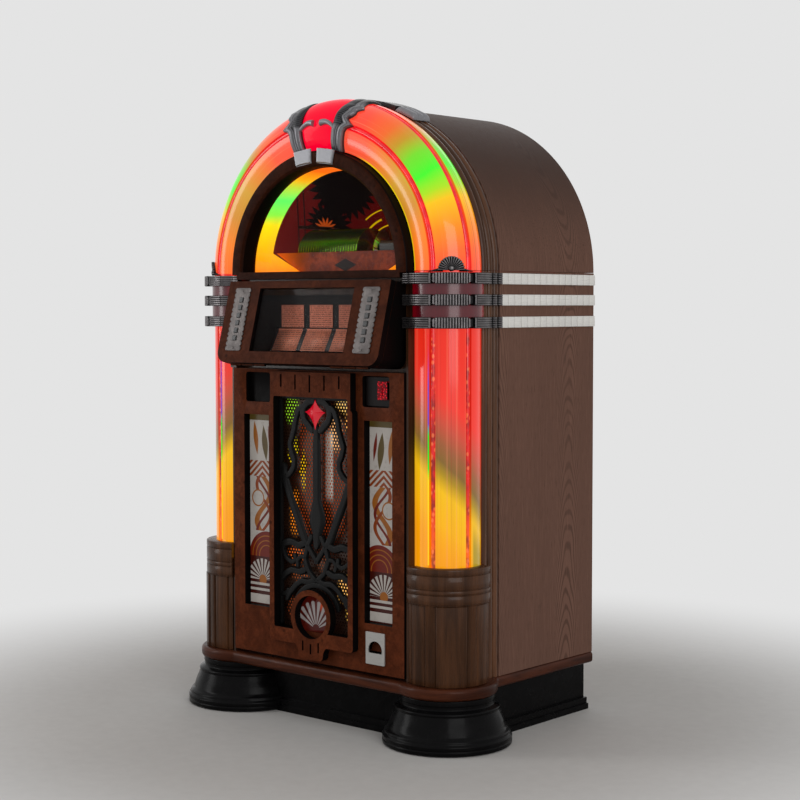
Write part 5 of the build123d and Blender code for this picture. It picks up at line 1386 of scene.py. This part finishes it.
class JUKEBOX_OT_base(bpy.types.Operator):
    """Turned black feet, and the base board whose rounded edge swells round each column."""

    bl_idname = "jukebox.base"
    bl_label = "Feet and base board"

    def execute(self, context):
        feet = Shape()
        profile = rounded_line([
            (0, 0), (147, 0), (154, 3), (154, 11), (152.6, 12.5), (152.6, 14), (154, 15.5), (154, 23),
            (149.5, 27.5), (148.5, 34), (143, 38), (140, 42), (135, 58), (129, 72), (124.2, 85), (126, 88),
            (125.4, 92), (118, 95.5), (112.4, 98), (112.4, 106), (114, 109), (114, 120), (0, 120)], 2.2)
        for side in SIDES:
            feet.grid(lathe(profile, side * COLUMN_REACH, COLUMN_DEPTH))
        feet.make("front_feet_turned", "cabinet", finish(black_lacquer), "black_lacquer", ("front_feet",), 45)
        board = Shape()
        board.grid(self.board())
        board.make("base_board_round", "cabinet", finish(base_walnut), "dark_wood", ("base_board",), 45)
        return {"FINISHED"}

    @staticmethod
    def board():
        """Rows run through the edge's section from the middle of the underside to the middle of the top; columns
        follow the board's outline, each row standing back by the section's depth."""
        low, high, radius, bulge, waist = 120.3, 148.5, 9.0, 120.0, 25.0
        front_start, side_end = math.radians(-24.4), math.radians(136.4)
        outline = [(reach, 600.0, 0.0) for reach in np.linspace(0, 272, 8)]
        outline += [(277 - waist * math.sin(turn), 625 - waist * math.cos(turn), turn)
                    for turn in np.linspace(0, front_start, 6)[:-1]]
        outline += [(COLUMN_REACH + bulge * math.sin(turn), COLUMN_DEPTH + bulge * math.cos(turn), turn)
                    for turn in np.linspace(front_start, side_end, 61)]
        outline += [(437 - waist * math.sin(turn), 388 - waist * math.cos(turn), turn)
                    for turn in np.linspace(side_end, QUARTER, 10)[1:]]
        outline += [(412.0, depth, QUARTER) for depth in (370.0, 200.0, 0.0)]
        reach, depth, turn = np.array(outline).T
        lean = [np.concatenate([np.sin(turn), -np.sin(turn)[::-1]]), np.concatenate([np.cos(turn), np.cos(turn)[::-1]])]
        reach, depth = np.concatenate([reach, -reach[::-1]]), np.concatenate([depth, depth[::-1]])
        swing = np.linspace(0, QUARTER, 8)
        set_back = np.concatenate([radius * (1 - np.sin(swing)), radius * (1 - np.cos(swing))])
        level = np.concatenate([low + radius * (1 - np.cos(swing)), high - radius * (1 - np.sin(swing))])
        rows = [place(reach - back * lean[0], depth - back * lean[1], height)
                for back, height in zip(set_back, level)]
        ends = [place(0 * reach, 300.0, height) for height in (low, high)]
        return loop(np.array([ends[0], *rows, ends[1]]))


# ---- dome shell and window frame


class JUKEBOX_OT_dome_shell(bpy.types.Operator):
    """Veneered dome shell, and the burl frame round the window with its sill bar."""

    bl_idname = "jukebox.dome_shell"
    bl_label = "Dome shell"

    def execute(self, context):
        shell = Shape()
        inner, outer, bevel, back, front = 398.0, 410.0, 0.6, 0.4, 387.6
        reach = loop(np.array([inner, outer - bevel, outer, outer, outer - bevel, inner]))
        depth = loop(np.array([back, back, back + bevel, front - bevel, front, front]))
        shell.grid(over_arch(reach, depth, ARCH_TURNS), ends=True)
        shell.make("lid_shell_veneered", "lid", finish(walnut_veneer, "round"), "side_veneer", ("lid_shell",))
        smooth_copy("window_frame", finish(burl_veneer, 0.32), 0.8)
        return {"FINISHED"}


# ---- crown


# the castings' outline: degrees over the section, and at each the degrees along the arch to the outer edge
CROWN_START = -30.5
CROWN_END = 118.0
CROWN_TURNS = (CROWN_START, 4.0, 10.0, 17.3, 21.5, 26.6, 32.0, 38.2, 45.0, 53.7, 60.0, 75.0, CROWN_END)
CROWN_OUTSIDE = (15.3, 15.0, 15.6, 18.5, 16.4, 14.6, 15.8, 16.4, 16.0, 17.8, 16.4, 15.6, 15.4)
CROWN_INSIDE = 8.8
LENS_END = 100.0
LENS_HALF = 8.3


def crown_grow(turn):
    """How far the castings stand off the plastic: 15 mm on the front, easing to 7 mm over the top."""
    return np.interp(np.degrees(turn), (32.0, 58.0), (15.0, 7.1))


def over_crown(turn, lift, angle):
    """Points over the arch: turn runs over the section, lift from 0 on the plastic to 1 at the casting's crest,
    and the angle runs from the crown along the arch."""
    return about_arch(*on_column(turn, PROUD + (crown_grow(turn) - 0.5) * lift), angle)


class JUKEBOX_OT_crown(bpy.types.Operator):
    """Crown over the arch's top: a red lens between two fluted castings with leaf tips and scrolls."""

    bl_idname = "jukebox.crown"
    bl_label = "Crown"

    def execute(self, context):
        castings = Shape()
        for side in SIDES:
            castings.grid(*self.arm(side), ends=True)
            castings.grid(self.scroll(side), tint=1, ends=True)
            castings.grid(self.foot_block(side), tint=1, ends=True)
            castings.grid(self.clamp(side), tint=1, ends=True)
        castings.make("crown_castings_fluted", "lid", [finish(crown_metal), finish(casting_grey)], "chrome",
                      ("crown_castings",), 48)
        lens = Shape()
        lens.grid(self.lens(), ends=True)
        lens.make("crown_lens_domed", "lid", finish(crown_red), "jewel", ("crown_lens",), 50)
        return {"FINISHED"}

    @staticmethod
    def arm(side):
        """Points and map of an arm. Rows run over the section, columns across the casting: flutes are half rounds, and
        the outer edge follows the outline with its leaf tips."""
        degrees = np.linspace(CROWN_START, CROWN_END, 150)
        outer = np.interp(degrees, CROWN_TURNS, CROWN_OUTSIDE)[:, None]
        share = np.linspace(0, 1, 49)
        flutes = 2
        ridge = half_round(share * flutes % 1.0 * 2 - 1)
        edge = np.clip(np.minimum(share, 1 - share) / 0.05, 0, 1)
        lift = np.maximum((0.55 + 0.45 * ridge) * np.sqrt(edge), 0.32)
        turn, angle = np.radians(degrees)[:, None], side * np.radians(CROWN_INSIDE + (outer - CROWN_INSIDE) * share)
        points = loop(over_crown(turn, lift, angle), over_crown(turn, 0.0, angle[:, [-1, 0]]))
        return points, section_map([*share, 1.0, 0.0, 0.0], np.linspace(0, 1, len(degrees)))

    @staticmethod
    def scroll(side):
        """The leaf that curls inward over the lens: a tapering band of the crest whose tip rolls up."""
        part = np.linspace(0, 1, 30)[:, None]
        share = np.linspace(-1, 1, 17)
        turn = np.radians(7.0 + 9.0 * np.sin(0.70 * math.pi * part) + (3.4 + 2.2 * part ** 2) * share)
        crest = 0.70 + 0.28 * np.sin(part * math.pi * 0.5)
        lift = 0.36 + (crest - 0.36) * half_round(share)
        angle = side * np.radians(9.6 - 7.6 * part)
        return loop(over_crown(turn, lift, angle), over_crown(turn[:, [-1, 0]], 0.0, angle))

    @staticmethod
    def foot_block(side):
        """The casting's end on the window frame: a flat plate with square shoulders and bevelled edges."""
        radius = np.linspace(262, 297, 15)[:, None]
        share = np.linspace(0, 1, 25)
        angle = side * np.radians(1.9 + (13.2 - 1.9) * share)
        end = np.clip((radius - 262) / 2.2, 0, 1)
        edge = np.clip(np.minimum(share, 1 - share) / 0.045, 0, 1)
        top = about_arch(radius, 587.9 + 4.0 * np.minimum(end, edge) ** 0.6, angle)
        return loop(top, about_arch(radius, 587.8, angle[[-1, 0]]))

    @staticmethod
    def clamp(side):
        """A rounded bar over the reeds at the cap's end: it follows each reed and rolls down at its two edges."""
        seat, start, end, near, far = 411.8, 19.8, 28.4, 388.4, 450.6
        degrees = np.linspace(start, end, 15)[:, None]
        rise = half_round(1 - np.clip(np.minimum(degrees - start, end - degrees) / 1.6, 0, 1))
        depth = np.linspace(near, far, 61)[None, :]
        lobe = np.abs(np.sin((depth - near) / (far - near) * math.pi * 3)) ** 0.6
        reach = loop(seat + (9.0 + 6.0 * lobe) * (0.25 + 0.75 * rise), np.full((15, 2), seat))
        return about_arch(reach, loop(depth, [[far, near]]), side * np.radians(degrees))

    @staticmethod
    def lens():
        """The red lens: a band over the section, a little crowned across and rounded off at its upper end."""
        degrees = np.linspace(CROWN_START, LENS_END, 90)[:, None]
        turn = np.radians(degrees)
        rise = half_round(1 - np.clip((LENS_END - degrees) / 6.0, 0, 1))
        share = np.linspace(-1, 1, 33)
        swell = 0.6 + 0.4 * np.sqrt(1 - 0.92 * share ** 2)
        angle = math.radians(LENS_HALF) * share
        top = about_arch(*on_column(turn, PROUD + 4.4 * rise * swell), angle)
        return loop(top, about_arch(*on_column(turn, 0.35), angle[[-1, 0]]))


# ---- fans


FAN_FOOT = 1107.0


def round_corner(along, lift, height, side):
    """Points on the dome's corner: along is the way round the arch in mm from the fan's middle, lift is off it."""
    turn = math.radians(46) + np.asarray(along) / 85.0
    reach, depth = on_column(turn, lift)
    return place(side * reach, depth, height)


class JUKEBOX_OT_fans(bpy.types.Operator):
    """Scalloped fans on the dome's lower corners: ribs spread from a bead, with a beaded wing at each side."""

    bl_idname = "jukebox.fans"
    bl_label = "Fan ornaments"

    def execute(self, context):
        fans = Shape()
        radius = sizes().fan_radius / MM
        for side in SIDES:
            fans.grid(*self.fan(radius, side))
            for hand in SIDES:
                fans.grid(self.wing(radius, hand, side), ends=True)
            fans.grid(self.bead(side))
        fans.make("shell_ornaments_ribbed", "lid", finish(trim_metal), "chrome", ("shell_ornaments",), 50)
        return {"FINISHED"}

    @staticmethod
    def fan(radius, side):
        """Points and map of a fan in polar places about its foot: lift swells with the radius, and its rim is
        scalloped by its ribs; the map holds how near each point is to a rib's crest."""
        ribs = 15
        sweep = np.linspace(-0.09, math.pi + 0.09, ribs * 8 + 1)[:, None]
        part = np.concatenate([[0.0], np.linspace(0.10, 1.0, 14)])
        rib = np.abs(np.sin((sweep + 0.09) / (math.pi + 0.18) * math.pi * ribs))
        out = radius * (1.26 + 0.07 * rib) * part
        along = out * np.cos(sweep)
        height = np.maximum(10.5 - 0.25 * radius + np.maximum(out * np.sin(sweep), -2.5), 0) + FAN_FOOT
        dome = np.sin(part ** 0.8 * math.pi * 0.60) / math.sin(math.pi * 0.60)
        lift = np.minimum(1.0 + 7.0 * dome * (0.62 + 0.38 * rib * part ** 0.3), 8.6)
        top = round_corner(along, lift, height, side)
        back = round_corner(along[:, ::-1], PROUD, height[:, ::-1], side)
        crest = np.concatenate([0.25 + 0.75 * rib ** 1.5 + 0 * part, 0 * rib * part], 1)
        return np.concatenate([top, back], 1), np.stack([crest, crest], -1)

    @staticmethod
    def wing(radius, hand, side):
        """A tapering wing beside the fan, with three beads along it."""
        part = np.linspace(0, 1, 40)[:, None]
        swing = np.linspace(0, 1, 9)
        along = hand * (radius * 0.85 + (58 - radius * 0.85) * part)
        height = FAN_FOOT + (14.0 - 12.5 * part ** 0.7) * (1 - swing)
        beads = np.abs(np.sin(part * math.pi * 4)) ** 0.5
        lift = 0.8 + (2.6 + 3.2 * beads * (1 - part * 0.6)) * np.sin(swing * math.pi) ** 0.6
        return loop(round_corner(along, lift, height, side), round_corner(along, PROUD, height[:, [-1, 0]], side))

    @staticmethod
    def bead(side):
        """A round bead at the fan's foot."""
        middle = 1114.6
        turn = np.linspace(0, 2 * math.pi, 25)[:, None]
        rise = np.linspace(0, QUARTER, 8)
        along = 8.0 * np.cos(rise) * np.cos(turn)
        height = middle + 7.2 * np.cos(rise) * np.sin(turn)
        cap = round_corner(along, 5.6 + 3.0 * np.sin(rise), height, side)
        root = round_corner(along[:, :1], PROUD, height[:, :1], side)
        return np.concatenate([round_corner(0 * turn, PROUD, middle, side), root, cap], 1)


# ---- grille


GRILLE_HALF = 134.0
GRILLE_FOOT = 226.0
GRILLE_TOP = 818.0
MESH_FRONT, MESH_BACK = 566.9, 565.3
PANEL_FRONT, PANEL_BACK = 563.4, 562.4
JEWEL_HEIGHT, JEWEL_FRONT, JEWEL_BACK = 771.0, 596.3, 587.3
ORNAMENT_LOW = 580.3
ORNAMENT_HIGH = 587.1
ORNAMENT_PATHS = (
    # each: half width, then reach and height along the middle line; every path is mirrored
    (6.0, ((0, 806), (60, 806), (121, 806))),
    (5.0, ((121, 803), (121, 700), (121, 520), (121, 380), (121, 300), (120, 240))),
    (10.0, ((4, 799), (26, 796), (42, 783), (46, 768), (40, 750), (24, 736), (10, 722))),
    (8.0, ((44, 786), (60, 776), (70, 752), (75, 728), (82, 708), (90, 690), (84, 668), (75, 652),
           (77, 632), (90, 616), (106, 606))),
    (11.0, ((110, 642), (114, 622), (108, 600), (92, 562), (72, 520), (52, 478), (34, 442))),
    (7.0, ((121, 632), (108, 624))),
    (7.0, ((36, 452), (18, 428), (-4, 400))),
    (7.0, ((14, 470), (30, 442), (40, 410), (26, 378), (0, 356))),
    (10.0, ((38, 448), (60, 440), (86, 448), (112, 442), (120, 424))),
    (6.5, ((118, 430), (104, 406), (84, 396), (70, 404), (74, 420))),
    (6.0, ((36, 412), (54, 414), (66, 402), (62, 386))),
    (9.0, ((34, 384), (58, 374), (84, 378), (108, 366), (121, 350))),
    (8.0, ((0, 362), (26, 352), (50, 354), (70, 342), (94, 318), (104, 300))),
    (6.5, ((120, 312), (104, 318), (92, 330))),
)
STEM = ((0, 742), (0, 690), (0, 560), (0, 545), (0, 520), (0, 500), (0, 470), (0, 436))
STEM_HALF = (8, 12, 12, 16, 26, 27, 14, 9)


def ribbon(shape, line, half, side=1):
    """A strip with a softly rounded crest along a line of reach and height: it swells from the ornament's low depth to
    its high one across its width. The line is bent smoothly through its points, and the ends are rounded."""
    line = np.array(line, float)
    step = np.concatenate([[0], np.cumsum(np.linalg.norm(np.diff(line, axis=0), axis=1))])
    run = np.linspace(0, step[-1], max(8, int(step[-1] / 3.0)))
    bent = np.stack([np.interp(run, step, line[:, 0]), np.interp(run, step, line[:, 1])], -1)
    for _ in range(3):
        bent[1:-1] = (bent[:-2] + 2 * bent[1:-1] + bent[2:]) / 4
    wide = np.interp(run, step, half) if np.ndim(half) else np.full(len(run), float(half))
    ends = np.minimum(run, step[-1] - run) / np.maximum(wide, 1.0)
    wide = wide * half_round(1 - np.clip(ends, 0.12, 1))
    along = np.gradient(bent, axis=0)
    along /= np.linalg.norm(along, axis=1, keepdims=True)
    across = np.linspace(-1, 1, 9)
    crest = ORNAMENT_LOW + (ORNAMENT_HIGH - ORNAMENT_LOW) * (1 - across ** 8) ** 0.5
    reach = side * (bent[:, 0:1] - along[:, 1:2] * wide[:, None] * across)
    height = bent[:, 1:2] + along[:, 0:1] * wide[:, None] * across
    under = place(reach[:, [-1, 0]], ORNAMENT_LOW, height[:, [-1, 0]])
    shape.grid(loop(place(reach, crest, height), under), ends=True)


def grille_lights():
    """Lit panel behind the mesh: glows of several colours in soft-edged fields, and rust panels inside the loops."""
    made = Finish("grille_lights", Roughness=0.7, Specular_IOR_Level=0.1)
    right, _, up = made.axes()
    drift = (made.noise(made.spot(), 16.0, 3.0) - 0.5) * 0.030

    def field(reach, height, half_reach, half_height):
        """1 within an upright oval, falling to 0 at its edge."""
        far = ((right - reach + drift) / half_reach) ** 2.0 + ((up - height + drift) / half_height) ** 2.0
        return made.between(far, 1.0, 0.25)

    tone = made.mix(field(0.0, 0.600, 0.120, 0.24), paint(14, 4, 2), paint(58, 18, 6))
    rust = made.between(abs(abs(right) - 0.040), 0.040, 0.030) * made.between(abs(up - 0.610), 0.150, 0.120)
    tone = made.mix(rust, tone, paint(132, 48, 12))
    for reach, height, wide, tall, *screen in (
            (-0.100, 0.775, 0.030, 0.050, 150, 214, 40), (-0.098, 0.670, 0.016, 0.040, 214, 190, 0),
            (0.075, 0.790, 0.034, 0.024, 255, 206, 110), (0.100, 0.750, 0.026, 0.040, 255, 176, 90),
            (0.112, 0.660, 0.014, 0.070, 190, 170, 160), (-0.066, 0.620, 0.010, 0.060, 240, 190, 0),
            (-0.092, 0.515, 0.022, 0.066, 255, 142, 20), (0.048, 0.720, 0.026, 0.050, 255, 190, 120),
            (-0.088, 0.415, 0.034, 0.026, 214, 96, 30), (-0.076, 0.370, 0.040, 0.026, 150, 74, 36),
            (0.076, 0.345, 0.032, 0.040, 255, 190, 100), (0.098, 0.290, 0.022, 0.040, 255, 200, 90),
            (-0.100, 0.275, 0.022, 0.040, 120, 52, 24), (0.0, 0.405, 0.026, 0.034, 110, 60, 40)):
        tone = made.mix(field(reach, height, wide, tall), tone, paint(*screen))
    # painted shade on the back faces of the lit panel
    return glow(made, made.dark_back(tone), 0.3, 1.3)


class JUKEBOX_OT_grille(bpy.types.Operator):
    """Punched mesh with a lit panel behind it, the black ornament before it, and its red four-pointed jewel."""

    bl_idname = "jukebox.grille"
    bl_label = "Grille"

    def execute(self, context):
        mesh = Shape()
        mesh.grid_of_holes(self.cell(), self.centres())
        mesh.make("grille_mesh_punched", "lower_door", finish(mesh_brown), "gilt_mesh", ("grille_mesh",))
        panel = Shape()
        panel.grid(self.panel(), ends=True)
        panel.make("grille_light_panel", "lower_door", finish(grille_lights), "gilt_mesh")
        ornament = Shape()
        for half, line in ORNAMENT_PATHS:
            for side in SIDES:
                ribbon(ornament, line, half, side)
        ribbon(ornament, STEM, STEM_HALF)
        bow, middle = 76.0, 271.0
        turn = np.radians(np.linspace(14, 166, 40))
        ribbon(ornament, np.stack([bow * np.cos(turn), middle + bow * np.sin(turn)], -1), 8.0)
        ornament.make("grille_ornament_cast", "lower_door", finish(ornament_black), "black_metal",
                      ("grille_ornament",), 60)
        jewel = Shape()
        jewel.grid(self.jewel())
        jewel.make("grille_jewel_cut", "lower_door", finish(jewel_red), "jewel", ("grille_jewel",), 24)
        return {"FINISHED"}

    @staticmethod
    def centres():
        """Centres of a honeycomb: rows stand apart by the pitch times the half root of three, odd ones shifted."""
        pitch = sizes().mesh_pitch / MM
        rise = pitch * math.sqrt(3) / 2
        rows = int((GRILLE_TOP - GRILLE_FOOT - pitch) / rise)
        columns = int((2 * GRILLE_HALF - 1.5 * pitch) / pitch)
        row, column = np.meshgrid(np.arange(rows), np.arange(columns), indexing="ij")
        reach = -GRILLE_HALF + pitch * (0.75 + column + 0.5 * (row % 2))
        return np.stack([reach.ravel(), (GRILLE_FOOT + pitch / 2 + rise * row).ravel()], -1)

    @staticmethod
    def cell():
        """One cell of the mesh: a six-sided frame from its outline in to its hole, closed at the back."""
        pitch = sizes().mesh_pitch / MM
        turn = np.radians(30 + 60 * np.arange(7))
        outer, hole = pitch / math.sqrt(3), pitch * 0.31
        rings = ((outer, MESH_FRONT), (hole, MESH_FRONT), (hole, MESH_BACK), (outer, MESH_BACK), (outer, MESH_FRONT))
        return np.array([np.stack([radius * np.cos(turn), np.full(7, depth), radius * np.sin(turn)], -1)
                         for radius, depth in rings])

    @staticmethod
    def panel():
        """A thin flat box behind the mesh."""
        reach = GRILLE_HALF * np.array([-1, 1, 1, -1])
        depth = np.array([PANEL_FRONT, PANEL_FRONT, PANEL_BACK, PANEL_BACK])
        return up_column(loop(reach), loop(depth), (GRILLE_FOOT, GRILLE_TOP))

    @staticmethod
    def jewel():
        """A star in polar places: the rim is an astroid, longer below, and the face falls from its middle to it in
        four ridges."""
        turn = np.linspace(0, 2 * math.pi, 97)
        cosine, sine = np.cos(turn), np.sin(turn)
        tall = np.where(sine > 0, 31.0, 43.0)
        rim = (np.abs(cosine / 34.0) ** 0.72 + np.abs(sine / tall) ** 0.72) ** (-1 / 0.72)
        part = np.concatenate([np.linspace(0, 1, 14), [1.0, 0.0]])[:, None]
        depth = np.concatenate([JEWEL_FRONT - 8.4 * np.linspace(0, 1, 14) ** 1.1, [JEWEL_BACK, JEWEL_BACK]])
        return place(rim * part * cosine, depth[:, None], JEWEL_HEIGHT + rim * part * sine)


# ---- art glass and dome lining


def art_glass_panel():
    """Lit art glass. Side panes, from the foot: a thick and two thin white bars, a rising sun of rays, a dark red
    hill with gold arcs, gold waves round a ring, chevrons, tall pointed leaves and an olive head. The round glass: a
    fan of pale ribs on dark red."""
    made = Finish("art_glass_panel", Roughness=0.35, Specular_IOR_Level=0.2)
    right, _, up = made.axes()
    white, gold, orange = paint(204, 196, 188), paint(170, 100, 32), paint(150, 66, 20)
    dark, olive, wine = paint(70, 20, 12), paint(96, 78, 34), paint(120, 34, 18)
    grain = made.noise(made.spot(), 90.0, 3.0)
    reach = abs(right) - 0.160

    def circle(centre, height, radius, wide):
        """1 on a ring: the distance from its centre is within the width of the radius."""
        return made.between(abs(length(reach - centre, up - height) - radius), wide, wide * 0.7)

    def disc(centre, height, radius):
        """1 within a circle."""
        return made.between(length(reach - centre, up - height), radius, radius * 0.985)

    def span(low, high):
        """1 between two heights."""
        return (up > low) * (up < high)

    def rays(centre, height, count, share):
        """1 on spokes about a point."""
        turn = (reach - centre).math("ARCTAN2", up - height)
        return made.between(turn * (count / math.pi) % 1.0, share, share + 0.04, 1.0, 0.0)

    ring, hill, sun = (0.060, 0.545), (0.030, 0.400), (0.044, 0.338)
    tone = white
    # tall leaves: two cosine edges that meet at a point
    for centre, foot, rise, wide, colour in (
            (0.030, 0.640, 0.090, 0.020, olive), (0.062, 0.655, 0.085, 0.016, gold),
            (0.012, 0.660, 0.070, 0.010, wine)):
        part = (up - foot) / rise
        half = (part * math.pi).math("SINE") * wide * 0.5
        leaf = span(foot, foot + rise) * made.between(abs(reach - centre - part * 0.010) - half, 0.001, -0.001)
        tone = made.mix(leaf, tone, colour)
    chevron = (up + abs(reach - 0.044) * 0.9) * 62
    tone = made.mix(span(0.600, 0.640) * made.between(chevron % 1.0, 0.45, 0.50), tone, orange)
    # waves: a sine of the height swings a band across the glass
    for phase, wide, colour in ((0.0, 0.010, gold), (1.1, 0.005, wine), (2.4, 0.006, orange)):
        middle = (up * 42 + phase).math("SINE") * 0.024 + 0.040
        wave = span(0.462, 0.600) * made.between(abs(reach - middle), wide, wide * 0.8)
        tone = made.mix(wave, tone, colour)
    tone = made.over(tone, (disc(*ring, 0.019), white), (circle(*ring, 0.020, 0.0022), gold))
    # hill with nested arcs
    above = span(0.395, 0.480)
    tone = made.mix(disc(*hill, 0.062) * above, tone, wine)
    for radius in (0.050, 0.038, 0.026):
        tone = made.mix(circle(*hill, radius, 0.0016) * above, tone, gold)
    # rising sun on dark red
    tone = made.mix(span(0.0, 0.397), tone, dark)
    shine = rays(*sun, 11, 0.55) * disc(*sun, 0.054) * (up > sun[1])
    tone = made.over(tone, (shine, white), (disc(*sun, 0.013), gold))
    for low, high in ((0.2780, 0.3005), (0.3095, 0.3160), (0.3235, 0.3300)):
        tone = made.mix(span(low, high), tone, white)
    tone = made.over(tone, (up > 0.742, olive), (made.between(grain, 0.5, 0.8) * 0.25, dark))
    # round glass
    height = up - 0.240
    far, turn = length(right, height), right.math("ARCTAN2", height) * 3.2
    ribs = made.between(abs(turn % 1.0 - 0.5), 0.32, 0.24)
    scallop = abs((turn * math.pi).math("SINE")) * 0.008 + 0.062
    fan = ribs * made.between(far, scallop, scallop * 0.97) * (far > 0.012) * (abs(turn) < 1.25 * 3.2)
    glass = made.mix(made.noise(made.spot(), 40.0, 3.0), paint(58, 12, 8), paint(104, 26, 14))
    lamp = length(right - 0.024, up - 0.300)
    glass = made.over(glass, (made.between(lamp, 0.022, 0.004) * 0.8, paint(232, 84, 30)),
                      (fan, paint(172, 164, 162)))
    return glow(made, made.mix(abs(right) < 0.100, tone, glass), 0.32, 0.32)


def dome_red():
    """Inside of the dome: dark red with black saw-toothed scallops, gold arcs and a few upright lines. They are laid
    out flat, along the left wall and on across the back, by one number that grows along both."""
    made = Finish("dome_red", Roughness=0.6, Specular_IOR_Level=0.1)
    right, back, up = made.axes()
    cloud = made.noise(made.spot(), 6.0, 3.0)
    tone = made.mix(cloud, paint(66, 8, 8), paint(116, 20, 20))
    along = right * 0.75 + back * 0.66

    def polar(middle, height):
        """Distance and angle about a point."""
        across, rise = along - middle, up - height
        return length(across, rise), across.math("ARCTAN2", rise)

    def lobe(middle, height, radius, teeth, depth):
        """1 within a circle whose rim is cut into saw teeth."""
        out, turn = polar(middle, height)
        return made.between(out + abs(turn * teeth % 1.0 - 0.5) * depth, radius, radius - 0.002)

    for lobes in (
            (-0.110, 1.345, 0.092, 4.2, 0.046), (-0.150, 1.245, 0.062, 3.2, 0.040),
            (-0.180, 1.185, 0.034, 3.0, 0.02), (0.206, 1.310, 0.075, 4.2, 0.040),
            (0.290, 1.215, 0.045, 3.2, 0.030)):
        tone = made.mix(lobe(*lobes), tone, (0.003, 0.003, 0.003, 1))
    tone = made.mix(lobe(-0.160, 1.235, 0.030, 2.2, 0.034), tone, paint(196, 82, 24))
    for middle in (0.030, 0.330):
        out, turn = polar(middle, 1.180)
        for radius, wide, start, end in (
                (0.095, 0.0030, -1.35, -0.45), (0.075, 0.0020, -1.2, 0.1), (0.118, 0.0020, -0.8, 0.2)):
            arc = made.between(abs(out - radius), wide, wide * 0.6) * (turn > start) * (turn < end)
            tone = made.mix(arc, tone, paint(250, 206, 0))
    for middle in (-0.228, -0.212):
        tone = made.mix(abs(along - middle) < 0.0016, tone, (0.006, 0.004, 0.004, 1))
    # painted shade on the lining's back faces
    tone = made.dark_back(tone)
    # painted light: the lining glows, as if lit by the dome's lamps
    return made.set(Base_Color=tone, Emission_Color=tone, Emission_Strength=0.55)


class JUKEBOX_OT_dome_lining(bpy.types.Operator):
    """Dark red lining inside the dome: a half barrel over the discs with a flat back."""

    bl_idname = "jukebox.dome_lining"
    bl_label = "Dome lining"

    def execute(self, context):
        lining = Shape()
        angles = np.linspace(-QUARTER, QUARTER, 73)
        inner, outer, back, front, wall = 300.0, 302.0, 15.0, 470.0, 2.0
        reach = loop(np.array([inner, inner, outer, outer, 0.0, 0.0]))
        depth = loop(np.array([back + wall, front, front, back, back, back + wall]))
        lining.grid(over_arch(reach, depth, angles), ends=True)
        lining.make("dome_lining", "lid", finish(dome_red), "board")
        return {"FINISHED"}


# ---- rounded solids


# each: the solid, its finish, and where its edges are rounded, by how many mm and past which crease
SMOOTH = (
    ("lower_door_panel", (burl_veneer, 1.0, True, 580.0), 0.8),
    ("grille_frame", (burl_veneer, 1.1), 1.5),
    ("console_housing", (burl_veneer, 0.7), 0.6),
    ("title_frame", (burl_veneer, 0.65), 0.8),
    ("selector_plates", (button_plate,), 0.3, 40),
    ("title_leaf", (card_paper,)),
    ("art_glasses", (art_glass_panel,)),
    ("fascia_board", (fascia_burl,), 0.5),
    ("stored_discs", (disc_face,)),
    ("playing_disc", (disc_face,)),
    ("arch_liner", (lit_liner,)),
)


class JUKEBOX_OT_smooth_solids(bpy.types.Operator):
    """Solids whose shape is right but whose edges want rounding."""

    bl_idname = "jukebox.smooth_solids"
    bl_label = "Rounded solids"

    def execute(self, context):
        for node, maker, *edges in SMOOTH:
            smooth_copy(node, finish(*maker), *edges)
        for node in frame["nodes"]:
            if node.startswith("button_"):
                smooth_copy(node, finish(black_plastic, 0.8), 0.4)
        return {"FINISHED"}


# ---- panel and start


PIECES = (
    JUKEBOX_OT_stage,
    JUKEBOX_OT_plain_finishes,
    JUKEBOX_OT_smooth_solids,
    JUKEBOX_OT_lit_plastics,
    JUKEBOX_OT_mouldings,
    JUKEBOX_OT_belt,
    JUKEBOX_OT_column_covers,
    JUKEBOX_OT_base,
    JUKEBOX_OT_dome_shell,
    JUKEBOX_OT_crown,
    JUKEBOX_OT_fans,
    JUKEBOX_OT_grille,
    JUKEBOX_OT_dome_lining,
)


class JUKEBOX_PT_pieces(bpy.types.Panel):
    """Lists the pieces with their sizes and colours."""

    bl_label = "Jukebox"
    bl_idname = "JUKEBOX_PT_pieces"
    bl_space_type = "VIEW_3D"
    bl_region_type = "UI"
    bl_category = "Jukebox"

    def draw(self, context):
        for group in (context.scene.jukebox_sizes, context.scene.jukebox_colours):
            for name in group.__annotations__:
                self.layout.prop(group, name)
        for piece in PIECES:
            self.layout.operator(piece.bl_idname)


CLASSES = (JukeboxSizes, JukeboxColours, *PIECES, JUKEBOX_PT_pieces)


def register():
    for made in CLASSES:
        bpy.utils.register_class(made)
    bpy.types.Scene.jukebox_sizes = bpy.props.PointerProperty(type=JukeboxSizes)
    bpy.types.Scene.jukebox_colours = bpy.props.PointerProperty(type=JukeboxColours)


def unregister():
    del bpy.types.Scene.jukebox_sizes
    del bpy.types.Scene.jukebox_colours
    for made in reversed(CLASSES):
        bpy.utils.unregister_class(made)


def main():
    register()
    for piece in PIECES:
        group, name = piece.bl_idname.split(".")
        getattr(getattr(bpy.ops, group), name)()


if __name__ == "__main__":
    main()
